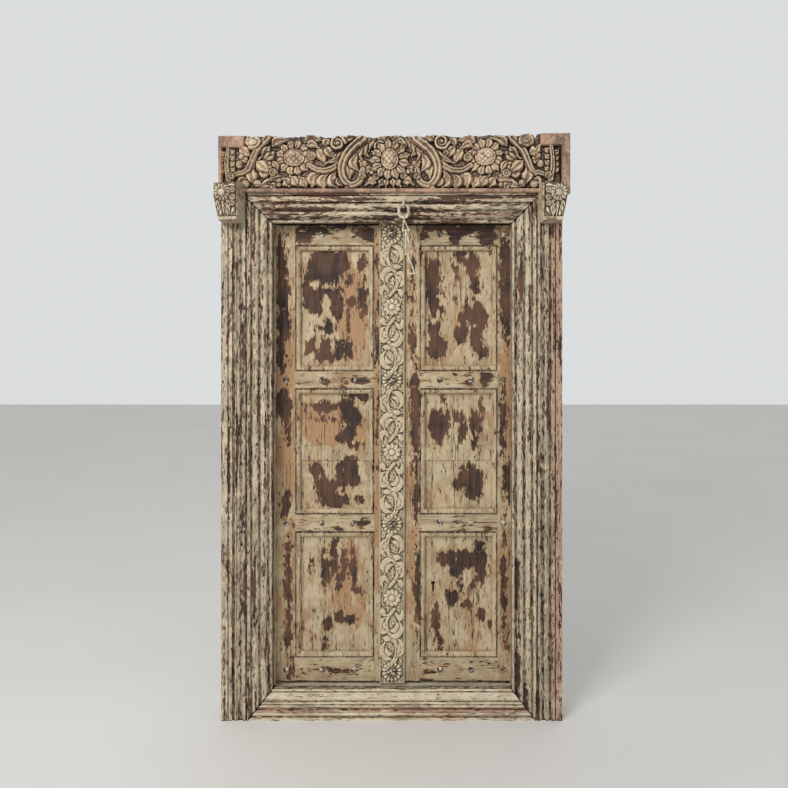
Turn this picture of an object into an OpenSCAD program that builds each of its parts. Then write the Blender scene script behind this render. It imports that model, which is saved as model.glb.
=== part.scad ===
// Old carved double door in its moulded frame.
// Millimetres. X runs to the right, the front faces -Y, Z points up.
// The origin is the middle of the sill's underside.

/* [Doorway] */
// Clear width between the jambs
opening_w = 844; // [800:2:900]
// Clear height from the sill's front edge to the head
opening_h = 1642; // [1500:2:1750]
// Width of each jamb seen from the front
jamb_w = 175; // [165:1:200]
// Height of the moulded front of the head
head_h = 104; // [98:1:130]
// Height of the moulded front of the sill
sill_h = 102; // [96:1:120]
// Height of the sill's beam under the jambs and the leaves
sill_back_h = 88; // [80:1:94]
// Depth of the frame from front to back
frame_d = 120; // [116:1:150]
// Depth of the head's and the sill's full-width beams
beam_d = 80; // [76:1:90]

/* [Mouldings] */
// Width of the mouldings that are mitred at the corners
mitre_w = 84; // [80:1:90]
// How far these mouldings step back towards the doorway
moulding_fall = 12; // [6:1:18]
// Width of the bead on the doorway's edge
edge_bead_w = 9; // [6:1:14]
// Depth between the reeds
reed_d = 6; // [3:0.5:9]
// Width of a hollow on the outer part of a jamb
hollow_w = 24; // [16:1:28]
// Width of the small reed beside the hollow
small_reed_w = 8; // [6:1:10]
// Width of the flat fillets
fillet_w = 11; // [8:0.5:12]
// Width of the square channels cut between the members
quirk_w = 6; // [3:0.5:8]

/* [Frame joints] */
// Depth of the jambs' rebate behind the doorway's edge
jamb_rebate = 21; // [19:1:24]
// Depth of the head's rebate above its lower edge
head_rebate = 11; // [9:1:20]
// Width of the tenons on the jambs
jamb_tenon_w = 70; // [50:1:90]
// Thickness of the tenons on the jambs
jamb_tenon_t = 30; // [20:1:34]
// Length of the tenons on the jambs
jamb_tenon_l = 50; // [30:1:60]
// Radius of the wooden dowels between head and header
dowel_r = 12; // [8:1:16]
// How far each dowel goes into either piece
dowel_reach = 40; // [25:1:60]
// Room around tenons, tongues, dowels and shanks
joint_clear = 0.2; // [0.1:0.05:0.4]

/* [Leaves] */
// Thickness of the leaves
leaf_t = 42; // [38:1:46]
// Gap between the rebate and a leaf's front face
leaf_front_gap = 0.5; // [0.4:0.1:1.5]
// Gap between the rebate and a leaf's round heel
heel_gap = 3; // [2:0.5:5]
// Gap above the leaves
leaf_top_gap = 5; // [3:0.5:7]
// Gap under the leaves
leaf_floor_gap = 8; // [4:0.5:14]
// Place of the left leaf's free edge, from the middle of the doorway
seam_x = 41; // [20:1:50]
// Gap between the two leaves
seam_gap = 3; // [2.5:0.5:6]
// Width of the left leaf's hanging stile
left_hang_w = 86; // [70:1:100]
// Width of the left leaf's meeting stile
left_meet_w = 110; // [100:1:130]
// Width of the right leaf's hanging stile
right_hang_w = 64; // [56:1:80]
// Width of the right leaf's meeting stile
right_meet_w = 51; // [46:1:70]
// Height of the bottom rails
bottom_rail_h = 88; // [70:1:110]
// Height of the two rails between the panels
lock_rail_h = 62; // [50:1:80]
// Height of the top rails
top_rail_h = 80; // [60:1:100]
// Length of the rails' tenons
rail_tenon_l = 34; // [24:1:40]
// Thickness of the rails' tenons
rail_tenon_t = 14; // [10:1:16]
// Height cut from each end of a tenon
tenon_shoulder = 16; // [10:1:20]
// Radius of the turned pivots
pivot_r = 14; // [10:0.5:16]
// Length of the top pivots above the leaf
top_pivot_l = 45; // [30:1:60]
// Length of the bottom pivots below the leaf
bottom_pivot_l = 50; // [30:1:60]
// Room around the pivots
pivot_clear = 0.3; // [0.2:0.05:0.6]

/* [Panels] */
// Thickness of the panels
panel_t = 14; // [10:1:16]
// How far the panels lie behind the leaves' front
panel_set = 12; // [8:1:16]
// Depth of the panels' tongues in their grooves
tongue_l = 9; // [6:1:12]
// Width of the beads around the panels
bead_w = 20; // [14:1:24]
// How far the beads stand out of the leaves' front
bead_proud = 3; // [1:0.5:6]
// Height of the lapped board across the middle panels
lap_h = 56; // [40:1:80]
// How far the lapped board stands out
lap_t = 3; // [2:0.5:5]
// Place of the lapped board's lower edge above the panel's lower bead
lap_z = 172; // [120:1:220]
// Radius of the keyhole's round end
keyhole_r = 5; // [4:0.5:7]
// Width of the keyhole's slot
keyhole_slot_w = 5; // [4:0.5:6]
// Length of the keyhole's slot below its round end
keyhole_slot_l = 18; // [12:1:24]
// Place of the keyhole from the panel's left bead
keyhole_x = 26; // [16:1:60]
// Height of the keyhole above the panel's lower bead
keyhole_z = 236; // [150:1:300]

/* [Carved strip] */
// Width of the strip
strip_w = 88; // [80:1:96]
// Distance from the strip's right edge to the left leaf's free edge
strip_inset = 1; // [0.5:0.5:3]
// Thickness of the strip behind its carving
strip_back_t = 10; // [8:1:14]
// Height of the strip's carving
strip_relief = 15; // [8:1:18]
// Width of the strip's plain edges
strip_edge_w = 3; // [2:0.5:6]
// Radius of the domed bosses on the strip
boss_r = 17.5; // [12:0.5:22]
// Height of the domed bosses over the carving's ground
boss_h = 22; // [14:1:24]

/* [Carved header] */
// Width of the header
header_w = 1232; // [1200:2:1280]
// How far the header sits to the right of the middle
header_shift = 9; // [0:1:14]
// Height of the header at its left end
header_h = 200; // [196:1:204]
// Rise of the header's top edge towards the right end
header_rise = 10; // [0:1:14]
// How far the carving's crests stand in front of the frame
header_proud = 14; // [8:1:20]
// Height of the header's carving
header_relief = 26; // [16:1:30]
// Height of the plain fillet under the carving
header_fillet_h = 17; // [10:1:20]

/* [Capitals] */
// Width of a capital at its back
capital_w = 103; // [90:1:110]
// Height of a capital
capital_h = 140; // [120:1:150]
// Place of a capital's lower end under the frame's top
capital_drop = 106; // [95:1:115]
// How far a capital stands out of the frame
capital_d = 62; // [40:1:70]
// Place of a capital's middle outwards from the doorway's edge
capital_x = 130; // [120:1:140]
// How far the sides of a capital draw in towards the front
capital_splay = 12; // [6:1:18]
// How far a capital's outer side draws in towards its lower end
capital_taper = 16; // [8:1:24]
// Height of the shoulder on a capital's outer side
capital_shoulder = 87; // [60:1:100]

/* [Ironwork] */
// Radius of the nail heads
nail_r = 10.5; // [7:0.5:12]
// Height of the nail heads
nail_h = 4; // [2:0.5:6]
// Radius of the nail shanks
nail_shank_r = 3; // [2:0.5:4]
// Length of the nail shanks
nail_shank_l = 34; // [24:1:36]
// Radius of the chain eye's wire
eye_wire_r = 3.5; // [2.5:0.5:4]
// Radius of the chain eye at the middle of its wire
eye_r = 13; // [11:0.5:16]
// How far the back of the chain eye lies behind the frame's front plane
eye_set = 2; // [0:0.5:2.5]
// Length of the chain eye's spike in the head
eye_spike_l = 60; // [40:1:80]
// Place of the chain to the right of the middle
chain_x = 43; // [20:1:60]
// Height of the chain eye above the head's lower edge
chain_z = 65; // [50:1:72]
// Radius of the ring's wire
ring_wire_r = 5; // [4:0.5:6]
// Width of the ring at the middle of its wire
ring_w = 33; // [30:1:40]
// Height of the ring at the middle of its wire
ring_h = 44; // [40:1:60]
// Radius of the links' wire
link_wire_r = 2.5; // [2:0.25:3]
// Width of a link's lower bar
link_w = 22; // [18:1:28]
// Room between a link's eye and the bar that it hangs on
link_clear = 0.3; // [0.2:0.05:0.5]

/* [Hidden] */
$fn = 48;
eps = 0.01;
past = 1;

PAINT = "#b5ab90";
FRAME_PAINT = "#a89c84";
BARE = "#6f4c3a";
CARVED = "#a08a74";
STRIP = "#c4bba8";
IRON = "#8d8678";

// Frame planes
open_half = opening_w / 2;
outer_half = open_half + jamb_w;
mitre_half = open_half + mitre_w;
rebate_half = open_half + jamb_rebate;
head_z = sill_h + opening_h;
frame_top = head_z + head_h;
beam_z = head_z + head_rebate;
front_y = -frame_d / 2;
back_y = frame_d / 2;
beam_y = back_y - beam_d;

// Leaf planes; a leaf turns about the middle of its round heel
heel_r = leaf_t / 2;
leaf_back_gap = 3;
leaf_y = back_y - leaf_back_gap - leaf_t;
rebate_y = leaf_y - leaf_front_gap;
pivot_x = rebate_half - heel_gap - heel_r;
pivot_y = leaf_y + heel_r;
leaf_z = sill_back_h + leaf_floor_gap;
leaf_top = beam_z - leaf_top_gap;
leaf_h = leaf_top - leaf_z;
bay_h = (leaf_h - bottom_rail_h - top_rail_h - 2 * lock_rail_h) / 3;
rail_z = [0, bottom_rail_h + bay_h, bottom_rail_h + lock_rail_h + 2 * bay_h, leaf_h - top_rail_h];
rail_h = [bottom_rail_h, lock_rail_h, lock_rail_h, top_rail_h];
groove_y = leaf_y + panel_set;

// Each leaf as [hanging stile's inner edge, meeting stile's inner edge, free edge]
left_edges = [-(pivot_x + heel_r) + left_hang_w, seam_x - left_meet_w, seam_x];
right_edges = [pivot_x + heel_r - right_hang_w, seam_x + seam_gap + right_meet_w, seam_x + seam_gap];

strip_right = seam_x - strip_inset;
strip_mid = strip_right - strip_w / 2;
strip_ground_y = leaf_y - strip_back_t;

// Moulding members as [kind, width], from the outer edge towards the doorway
FLAT = 0;
REED = 1;
HOLLOW = 2;
QUIRK = 3;
arc_steps = 6;
reed_w = (mitre_w - fillet_w - 3 * quirk_w - edge_bead_w) / 2;
mitred = [[FLAT, fillet_w], [QUIRK, quirk_w], [REED, reed_w], [QUIRK, quirk_w], [REED, reed_w],
          [QUIRK, quirk_w], [REED, edge_bead_w]];
jamb_outer = [[QUIRK, quirk_w], [FLAT, fillet_w], [QUIRK, quirk_w], [REED, small_reed_w],
              [HOLLOW, hollow_w], [FLAT, fillet_w / 2], [QUIRK, quirk_w]];
head_outer = [[QUIRK, quirk_w]];

function total(list, i = 0) = i >= len(list) ? 0 : list[i][1] + total(list, i + 1);

// Outline of one member: distance along the face, then depth behind it
function member(kind, s, w) =
    kind == REED ? [for (i = [0:arc_steps]) let (a = 180 * i / arc_steps)
                    [s + w / 2 - w / 2 * cos(a), reed_d * (1 - sin(a))]]
    : kind == HOLLOW ? [for (i = [0:arc_steps]) let (a = 180 * i / arc_steps)
                        [s + w / 2 - w / 2 * cos(a), reed_d * sin(a)]]
    : kind == QUIRK ? [[s, reed_d], [s + w, reed_d]]
    : [[s, 0], [s + w, 0]];

function run(list, s = 0, i = 0) =
    i >= len(list) ? [] : concat(member(list[i][0], s, list[i][1]), run(list, s + list[i][1], i + 1));

function no_repeats(p) =
    [for (i = [0:len(p) - 1]) if (i == 0 || norm(p[i] - p[i - 1]) > eps) p[i]];

// Outer members with a plain first flat that takes up the spare width, then the mitred ones
function face_outline(outer, width) =
    let (spare = width - mitre_w - total(outer),
         flat_part = run(concat([[FLAT, spare]], outer)),
         fall_part = [for (p = run(mitred)) [width - mitre_w + p[0], p[1] + moulding_fall * p[0] / mitre_w]])
    no_repeats(concat(flat_part, fall_part));

// Extrudes an outline given in Y and Z along X, from x0 to x1
module along_x(x0, x1) {
    translate([x0, 0, 0]) rotate([90, 0, 90]) linear_extrude(x1 - x0) children();
}

// Extrudes an outline given in X and Z along Y, from y0 to y1
module along_y(y0, y1) {
    translate([0, y1, 0]) rotate([90, 0, 0]) linear_extrude(y1 - y0) children();
}

module block(low, high) {
    translate(low) cube(high - low);
}

module both_sides() {
    children();
    mirror([1, 0, 0]) children();
}

// Tenon that joins a jamb to the head and the sill, made bigger by room all round for its mortise
module jamb_tenons(room) {
    x = (rebate_half + outer_half) / 2;
    y = (beam_y + back_y) / 2;
    low = sill_back_h - jamb_tenon_l;
    block([x - jamb_tenon_w / 2 - room, y - jamb_tenon_t / 2 - room, low - room],
          [x + jamb_tenon_w / 2 + room, y + jamb_tenon_t / 2 + room, beam_z + jamb_tenon_l + room]);
}

module jamb_right() {
    face = face_outline(jamb_outer, jamb_w);
    front = concat([for (p = face) [outer_half - p[0], front_y + p[1]]],
                   [[open_half, beam_y], [outer_half, beam_y]]);
    rear = [[open_half, beam_y], [outer_half, beam_y], [outer_half, back_y], [rebate_half, back_y],
            [rebate_half, rebate_y], [open_half, rebate_y]];
    color(FRAME_PAINT) {
        difference() {
            linear_extrude(frame_top) polygon(front);
            along_y(front_y - past, beam_y + past)
                polygon([[open_half - past, head_z - past], [mitre_half, head_z + mitre_w],
                         [mitre_half, frame_top + past], [open_half - past, frame_top + past]]);
            along_y(front_y - past, beam_y + past)
                polygon([[open_half - past, sill_h + past * sill_h / mitre_w],
                         [mitre_half + past * mitre_w / sill_h, -past], [open_half - past, -past]]);
        }
        translate([0, 0, sill_back_h]) linear_extrude(beam_z - sill_back_h) polygon(rear);
        jamb_tenons(0);
    }
}

module jamb_left() {
    mirror([1, 0, 0]) jamb_right();
}

module head() {
    face = face_outline(head_outer, head_h);
    outline = concat([for (p = face) [front_y + p[1], frame_top - p[0]]],
                     [[beam_y, head_z], [beam_y, frame_top]]);
    eye_z = head_z + chain_z;
    color(FRAME_PAINT) difference() {
        union() {
            intersection() {
                along_x(-mitre_half, mitre_half) polygon(outline);
                along_y(front_y - past, beam_y)
                    polygon([[-mitre_half, frame_top], [-mitre_half, head_z + mitre_w], [-open_half, head_z],
                             [open_half, head_z], [mitre_half, head_z + mitre_w], [mitre_half, frame_top]]);
            }
            block([-outer_half, beam_y, beam_z], [outer_half, back_y, frame_top]);
        }
        both_sides() {
            jamb_tenons(joint_clear);
            translate([pivot_x, pivot_y, leaf_top])
                cylinder(r = pivot_r + pivot_clear, h = top_pivot_l + pivot_clear);
        }
        header_dowels_at(joint_clear);
        translate([chain_x, front_y - past, eye_z]) rotate([-90, 0, 0])
            cylinder(r = eye_wire_r + joint_clear, h = eye_spike_l + past + joint_clear);
    }
}

module sill() {
    stretch = sill_h / mitre_w;
    face = no_repeats([for (p = run(mitred)) [p[0] * stretch, p[1] + moulding_fall * p[0] / mitre_w]]);
    top_y = front_y + moulding_fall + reed_d;
    slope = (sill_h - sill_back_h) / (rebate_y - top_y);
    step_z = sill_h - slope * (beam_y - top_y);
    outline = concat([for (p = face) [front_y + p[1], p[0]]], [[beam_y, step_z], [beam_y, 0]]);
    color(FRAME_PAINT) difference() {
        union() {
            intersection() {
                along_x(-mitre_half, mitre_half) polygon(outline);
                along_y(front_y - past, beam_y)
                    polygon([[-mitre_half, 0], [mitre_half, 0], [open_half, sill_h], [-open_half, sill_h]]);
            }
            along_x(-open_half, open_half)
                polygon([[beam_y, 0], [beam_y, step_z], [rebate_y, sill_back_h], [rebate_y, 0]]);
            block([-outer_half, beam_y, 0], [outer_half, back_y, sill_back_h]);
        }
        both_sides() {
            jamb_tenons(joint_clear);
            translate([pivot_x, pivot_y, leaf_z - bottom_pivot_l - pivot_clear])
                cylinder(r = pivot_r + pivot_clear, h = bottom_pivot_l + past);
        }
    }
}

// A tapering carved ridge through three points of the carving's plane; peak sets where it is widest
ridge_steps = 4;
ridge_root = 2;

function through(p, t) =
    let (q = 2 * p[1] - (p[0] + p[2]) / 2)
    (1 - t) * (1 - t) * p[0] + 2 * t * (1 - t) * q + t * t * p[2];

function heading(p, t) =
    let (q = 2 * p[1] - (p[0] + p[2]) / 2, d = (1 - t) * (q - p[0]) + t * (p[2] - q))
    d / norm(d);

function swell(t, peak) = peak == 0 ? 1 - 0.35 * t : max(0.22, sin(180 * pow(t, peak)));

module ridge(p, w, h, peak) {
    rings = [for (i = [0:ridge_steps])
        let (t = i / ridge_steps, c = through(p, t), d = heading(p, t), n = [-d[1], d[0]],
             a = w / 2 * swell(t, peak), b = h * (0.55 + 0.45 * swell(t, peak)))
        [[c[0] + a * n[0], c[1] + a * n[1], -ridge_root],
         [c[0], c[1], b],
         [c[0] - a * n[0], c[1] - a * n[1], -ridge_root]]];
    sides = 3;
    points = [for (r = rings) for (q = r) q];
    skin = [for (i = [0:ridge_steps - 1]) for (j = [0:sides - 1])
        [i * sides + j, (i + 1) * sides + j, (i + 1) * sides + (j + 1) % sides, i * sides + (j + 1) % sides]];
    start = [for (j = [0:sides - 1]) j];
    end = [for (j = [0:sides - 1]) ridge_steps * sides + sides - 1 - j];
    polyhedron(points, concat(skin, [start, end]));
}

// Leaf, lobe and stem differ in where they swell
LEAF = 0.8;
LOBE = 1.7;
STEM = 0;

module ridges(list, h) {
    for (r = list) ridge([r[0], r[1], r[2]], r[3], h * r[5], r[4]);
}

// Flower with a domed oval heart and a ring of petals, flat on the carving's plane
module flower(at, heart, reach, petals, h) {
    translate([at[0], at[1], -ridge_root]) {
        scale([heart[0], heart[1], 1]) cylinder(r1 = 1, r2 = 0.55, h = h + ridge_root, $fn = 10);
        for (i = [0:petals - 1]) rotate(360 * (i + 0.5) / petals) hull() {
            translate([0.5 * reach, 0, 0]) cylinder(r = 0.1 * reach, h = 0.72 * h + ridge_root, $fn = 3);
            translate([0.8 * reach, 0, 0])
                cylinder(r1 = 0.2 * reach, r2 = 0.12 * reach, h = 0.8 * h + ridge_root, $fn = 5);
        }
    }
}

// Round bud or the eye of a volute
module bud(at, r, h) {
    translate([at[0], at[1], -ridge_root]) {
        cylinder(r1 = r, r2 = 0.72 * r, h = 0.7 * h + ridge_root, $fn = 9);
        cylinder(r1 = 0.62 * r, r2 = 0.4 * r, h = h + ridge_root, $fn = 7);
    }
}

// Carving of one half of the header: [start, middle, end, width, kind, height]
// measured from the middle flower's axis and the header's lower edge
half_scroll = [
    [[-92, 200], [-140, 142], [-196, 98], 17, STEM, 1],
    [[-190, 101], [-238, 84], [-292, 88], 15, STEM, 0.95],
    [[-62, 202], [-118, 120], [-138, 58], 22, STEM, 0.9],
    [[-140, 70], [-136, 24], [-104, 30], 20, LEAF, 0.85],
    [[-110, 28], [-80, 42], [-60, 74], 20, LOBE, 0.8],
    [[-100, 78], [-84, 66], [-72, 40], 14, LEAF, 0.7],
    [[-132, 140], [-104, 112], [-92, 86], 16, LEAF, 0.8],
    [[-116, 176], [-84, 152], [-68, 130], 16, LEAF, 0.85],
    [[-160, 112], [-190, 72], [-228, 26], 22, LEAF, 0.9],
    [[-162, 100], [-178, 60], [-172, 22], 20, LOBE, 0.8],
    [[-204, 92], [-244, 70], [-266, 36], 20, LOBE, 0.8],
    [[-228, 84], [-262, 60], [-300, 34], 14, LEAF, 0.7],
    [[-140, 150], [-186, 136], [-226, 118], 18, LEAF, 0.85],
    [[-160, 170], [-206, 156], [-240, 142], 14, LEAF, 0.75],
    [[-206, 190], [-236, 172], [-254, 150], 18, LOBE, 0.8],
    [[-262, 196], [-270, 172], [-286, 160], 16, LOBE, 0.75],
    [[-424, 194], [-460, 138], [-484, 98], 15, STEM, 1],
    [[-482, 102], [-504, 64], [-532, 44], 15, STEM, 0.9],
    [[-462, 128], [-436, 92], [-406, 62], 20, LEAF, 0.9],
    [[-474, 108], [-452, 62], [-470, 24], 20, LOBE, 0.8],
    [[-426, 172], [-404, 148], [-420, 122], 18, LEAF, 0.8],
    [[-492, 118], [-520, 96], [-540, 66], 16, LEAF, 0.8],
    [[-478, 140], [-508, 128], [-528, 112], 14, LOBE, 0.75],
    [[-562, 36], [-572, 104], [-562, 156], 13, STEM, 0.8],
    [[-566, 70], [-584, 84], [-588, 104], 13, LEAF, 0.7],
    [[-568, 104], [-584, 118], [-588, 138], 13, LEAF, 0.7],
    [[-566, 72], [-548, 86], [-538, 104], 14, LEAF, 0.7],
    [[-566, 108], [-546, 120], [-536, 138], 14, LEAF, 0.7],
    [[-448, 22], [-384, 44], [-330, 46], 14, LEAF, 0.7],
    [[-384, 46], [-376, 32], [-380, 20], 16, LOBE, 0.75],
    [[-354, 48], [-348, 34], [-350, 20], 16, LOBE, 0.75],
    [[-326, 48], [-318, 34], [-320, 20], 16, LOBE, 0.75],
    [[-500, 50], [-512, 34], [-506, 18], 16, LOBE, 0.7],
    [[-36, 40], [-30, 28], [-40, 18], 16, LOBE, 0.7],
    [[-16, 46], [-10, 32], [-14, 18], 14, LOBE, 0.7]];

// Top edge of the header, broken and worn: distance from its middle, height against a straight edge
worn_top = [[-505, 0], [-503, -7], [-440, -3], [-330, -8], [-240, -2], [-120, -6], [-20, -1],
            [90, -2], [180, -6], [260, -2], [380, -4], [489, -2], [497, -17], [505, -1]];
header_back_t = frame_d + header_proud - header_relief;
flower_axis = -16;
header_half = header_w / 2;

function top_at(x) = header_h + header_rise * (x + header_half) / header_w;

module header_outline() {
    polygon(concat([[-header_half, 0], [-header_half, header_h]],
                   [for (p = worn_top) [p[0], top_at(p[0]) + p[1]]],
                   [[header_half, top_at(header_half)], [header_half, 0]]));
}

module half_carving() {
    ridges(half_scroll, header_relief);
    flower([-332, 122], [34, 30], 62, 11, 0.9 * header_relief);
    bud([-472, 178], 28, 0.9 * header_relief);
    bud([-178, 170], 26, 0.9 * header_relief);
    bud([-34, 166], 19, 0.95 * header_relief);
    bud([-284, 80], 14, 0.8 * header_relief);
    bud([-402, 76], 10, 0.7 * header_relief);
    bud([-268, 136], 11, 0.7 * header_relief);
}

module header_dowels_at(room) {
    for (side = [-1, 1])
        translate([side * open_half, 0, frame_top - dowel_reach - room])
            cylinder(r = dowel_r + room, h = 2 * (dowel_reach + room));
}

// Carved pieces have few-sided holes, with flats that clear the round piece inside
hole_sides = 12;
hole_grow = 1 / cos(180 / hole_sides);

module header_dowel_holes() {
    for (side = [-1, 1])
        translate([side * open_half, 0, frame_top - past])
            cylinder(r = hole_grow * (dowel_r + joint_clear), h = dowel_reach + joint_clear + past,
                     $fn = hole_sides);
}

module carved_header() {
    corner_w = 104;
    corner_h = 42;
    edge_w = 16;
    plain_relief = header_relief - 6;
    eased = 0.6;
    color(CARVED) difference() {
        translate([header_shift, back_y - header_back_t, frame_top]) rotate([90, 0, 0]) {
            translate([0, 0, -header_back_t]) linear_extrude(header_back_t) header_outline();
            intersection() {
                translate([0, 0, -past]) linear_extrude(header_relief + past)
                    offset(delta = -eased) header_outline();
                union() {
                    block([-header_half - past, -past, -ridge_root],
                          [header_half + past, header_fillet_h, header_relief + past]);
                    block([-header_half - past, header_h - corner_h, -ridge_root],
                          [corner_w - header_half, header_h + past, plain_relief]);
                    block([header_half - corner_w, header_h + header_rise - corner_h, -ridge_root],
                          [header_half + past, header_h + header_rise + past, plain_relief]);
                    block([-header_half - past, -past, -ridge_root],
                          [edge_w - header_half, header_h + past, plain_relief]);
                    block([header_half - 2 * edge_w, -past, -ridge_root],
                          [header_half + past, header_h + header_rise + past, plain_relief]);
                    translate([flower_axis, 0, 0]) both_sides() half_carving();
                    flower([flower_axis, 114], [30, 36], 66, 12, header_relief);
                }
            }
        }
        header_dowel_holes();
    }
}

module header_dowels() {
    color(BARE) header_dowels_at(0);
}

// Right-hand capital: a bracket with splayed sides, notched over the header. A flower over a leaf takes up
// its outer part, beside a plain band and above a plain foot
module capital_right() {
    z0 = frame_top - capital_drop;
    half = capital_w / 2;
    skin_t = 1;
    relief = 9;
    x0 = open_half + capital_x;
    inset = 1;
    band_w = 24;
    foot_h = 16;
    flower_r = 29;
    face_x = capital_splay - half + inset;
    face_z = capital_splay + inset;
    leaves = [[[18, 82], [20, 58], [20, 32], 12, LEAF, 1],
              [[12, 80], [-2, 72], [-9, 54], 14, LEAF, 0.9],
              [[13, 62], [2, 52], [-6, 34], 14, LEAF, 0.9],
              [[24, 78], [36, 70], [41, 52], 14, LEAF, 0.9],
              [[25, 60], [34, 50], [36, 34], 13, LEAF, 0.9]];
    color(CARVED) {
        difference() {
            hull() {
                along_y(front_y - skin_t, front_y)
                    translate([x0, z0])
                        polygon([[-half, 0], [half - capital_taper, 0], [half, capital_shoulder], [half, capital_h],
                                 [-half, capital_h]]);
                along_y(front_y - capital_d + relief, front_y - capital_d + relief + skin_t)
                    translate([x0, z0])
                        polygon([[capital_splay - half, capital_splay], [half - capital_taper, capital_splay],
                                 [half, capital_shoulder], [half, capital_h - capital_splay / 2],
                                 [capital_splay - half, capital_h - capital_splay / 2]]);
            }
            block([x0 - capital_w, front_y - header_proud, frame_top],
                  [x0 + capital_w, back_y, z0 + capital_h + past]);
        }
        translate([x0, front_y - capital_d + relief, z0]) rotate([90, 0, 0]) {
            ridges(leaves, relief);
            flower([half - flower_r + inset, 104], [13, 13], flower_r, 11, relief);
            block([face_x, face_z, -ridge_root], [face_x + band_w, capital_h - face_z, 0.7 * relief]);
            block([face_x, face_z, -ridge_root], [half - capital_taper - inset, face_z + foot_h, 0.5 * relief]);
        }
    }
}

module capital_left() {
    mirror([1, 0, 0]) capital_right();
}

// The edges of the leaf on one side
function edges(side) = side < 0 ? left_edges : right_edges;
function lower_edge(side) = min(edges(side)[0], edges(side)[1]);
function upper_edge(side) = max(edges(side)[0], edges(side)[1]);

// A rail's tenons, made bigger by room for their mortises
module rail_tenons(side, i, room) {
    y = leaf_y + (leaf_t + panel_set) / 2;
    block([lower_edge(side) - rail_tenon_l - room, y - rail_tenon_t / 2 - room,
           leaf_z + rail_z[i] + tenon_shoulder - room],
          [upper_edge(side) + rail_tenon_l + room, y + rail_tenon_t / 2 + room,
           leaf_z + rail_z[i] + rail_h[i] - tenon_shoulder + room]);
}

// Panel of one bay with its tongues, made bigger by room for the grooves
module panel_board(side, bay, room) {
    z = leaf_z + rail_z[bay] + rail_h[bay];
    block([lower_edge(side) - tongue_l - room, groove_y - room, z - tongue_l - room],
          [upper_edge(side) + tongue_l + room, groove_y + panel_t + room, z + bay_h + tongue_l + room]);
}

// Nails stand on the hanging stile and in two places on each rail
nail_share = [0.34, 0.74];

function nail_x(side) =
    let (hang = edges(side)[0], meet = edges(side)[1])
    concat([(hang + side * pivot_x) / 2], [for (s = nail_share) hang + s * (meet - hang)]);

module nails_at(side, r, l) {
    for (i = [0:3]) for (x = nail_x(side))
        translate([x, leaf_y, leaf_z + rail_z[i] + rail_h[i] / 2]) rotate([-90, 0, 0]) cylinder(r = r, h = l);
}

module hanging_stile(side) {
    inner = edges(side)[0];
    color(PAINT) difference() {
        union() {
            translate([0, 0, leaf_z]) linear_extrude(leaf_h) {
                translate([side * pivot_x, pivot_y]) circle(r = heel_r);
                translate([min(inner, side * pivot_x), leaf_y]) square([abs(inner - side * pivot_x), leaf_t]);
            }
            translate([side * pivot_x, pivot_y, leaf_z - bottom_pivot_l])
                cylinder(r = pivot_r, h = leaf_h + bottom_pivot_l + top_pivot_l);
        }
        for (i = [0:3]) rail_tenons(side, i, joint_clear);
        for (bay = [0:2]) panel_board(side, bay, joint_clear);
        nails_at(side, nail_shank_r + joint_clear, nail_shank_l + joint_clear);
    }
}

boss_z = [for (i = [0:3]) rail_z[i] + rail_h[i] / 2];

module bosses_at(r, l, sides = $fn) {
    for (z = boss_z) translate([strip_mid, strip_ground_y, leaf_z + z]) rotate([-90, 0, 0])
        cylinder(r = r, h = l, $fn = sides);
}

module meeting_stile(side) {
    inner = edges(side)[1];
    free = edges(side)[2];
    color(PAINT) difference() {
        block([min(inner, free), leaf_y, leaf_z], [max(inner, free), leaf_y + leaf_t, leaf_top]);
        for (i = [0:3]) rail_tenons(side, i, joint_clear);
        for (bay = [0:2]) panel_board(side, bay, joint_clear);
        if (side < 0) bosses_at(nail_shank_r + joint_clear, nail_shank_l + joint_clear);
    }
}

module rail(side, i) {
    color(PAINT) difference() {
        union() {
            block([lower_edge(side), leaf_y, leaf_z + rail_z[i]],
                  [upper_edge(side), leaf_y + leaf_t, leaf_z + rail_z[i] + rail_h[i]]);
            rail_tenons(side, i, 0);
        }
        for (bay = [0:2]) panel_board(side, bay, joint_clear);
        nails_at(side, nail_shank_r + joint_clear, nail_shank_l + joint_clear);
    }
}

module keyhole() {
    z = leaf_z + bottom_rail_h + bead_w + keyhole_z;
    along_y(groove_y - past, groove_y + panel_t + past)
        translate([lower_edge(1) + bead_w + keyhole_x, z]) {
            circle(r = keyhole_r);
            translate([-keyhole_slot_w / 2, -keyhole_slot_l]) square([keyhole_slot_w, keyhole_slot_l]);
        }
}

module panel(side, bay) {
    z = leaf_z + rail_z[bay] + rail_h[bay];
    color(PAINT) difference() {
        union() {
            panel_board(side, bay, 0);
            if (bay == 1)
                block([lower_edge(side) + bead_w + joint_clear, groove_y - lap_t, z + bead_w + lap_z],
                      [upper_edge(side) - bead_w - joint_clear, groove_y, z + bead_w + lap_z + lap_h]);
        }
        if (side > 0 && bay == 0) keyhole();
    }
}

// Section of a bead: distance from the panel's bay edge, then depth from the panel's face towards the front
function bead_section() =
    let (top = panel_set + bead_proud, r = bead_w / 2)
    concat([[0, 0], [0, panel_set], [bead_w / 4, panel_set], [bead_w / 4, top]],
           [for (i = [0:arc_steps]) let (a = 90 * i / arc_steps)
            [bead_w - r + r * sin(a), top - r + r * cos(a)]],
           [[bead_w, 0]]);

// One mitred length of bead along the lower edge of a bay
module bead_run(length) {
    intersection() {
        rotate([90, 0, 90]) linear_extrude(length) polygon([for (p = bead_section()) [-p[1], p[0]]]);
        along_y(-panel_set - 2 * bead_proud, past)
            polygon([[joint_clear, 0], [length - joint_clear, 0], [length - bead_w - joint_clear, bead_w],
                     [bead_w + joint_clear, bead_w]]);
    }
}

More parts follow.
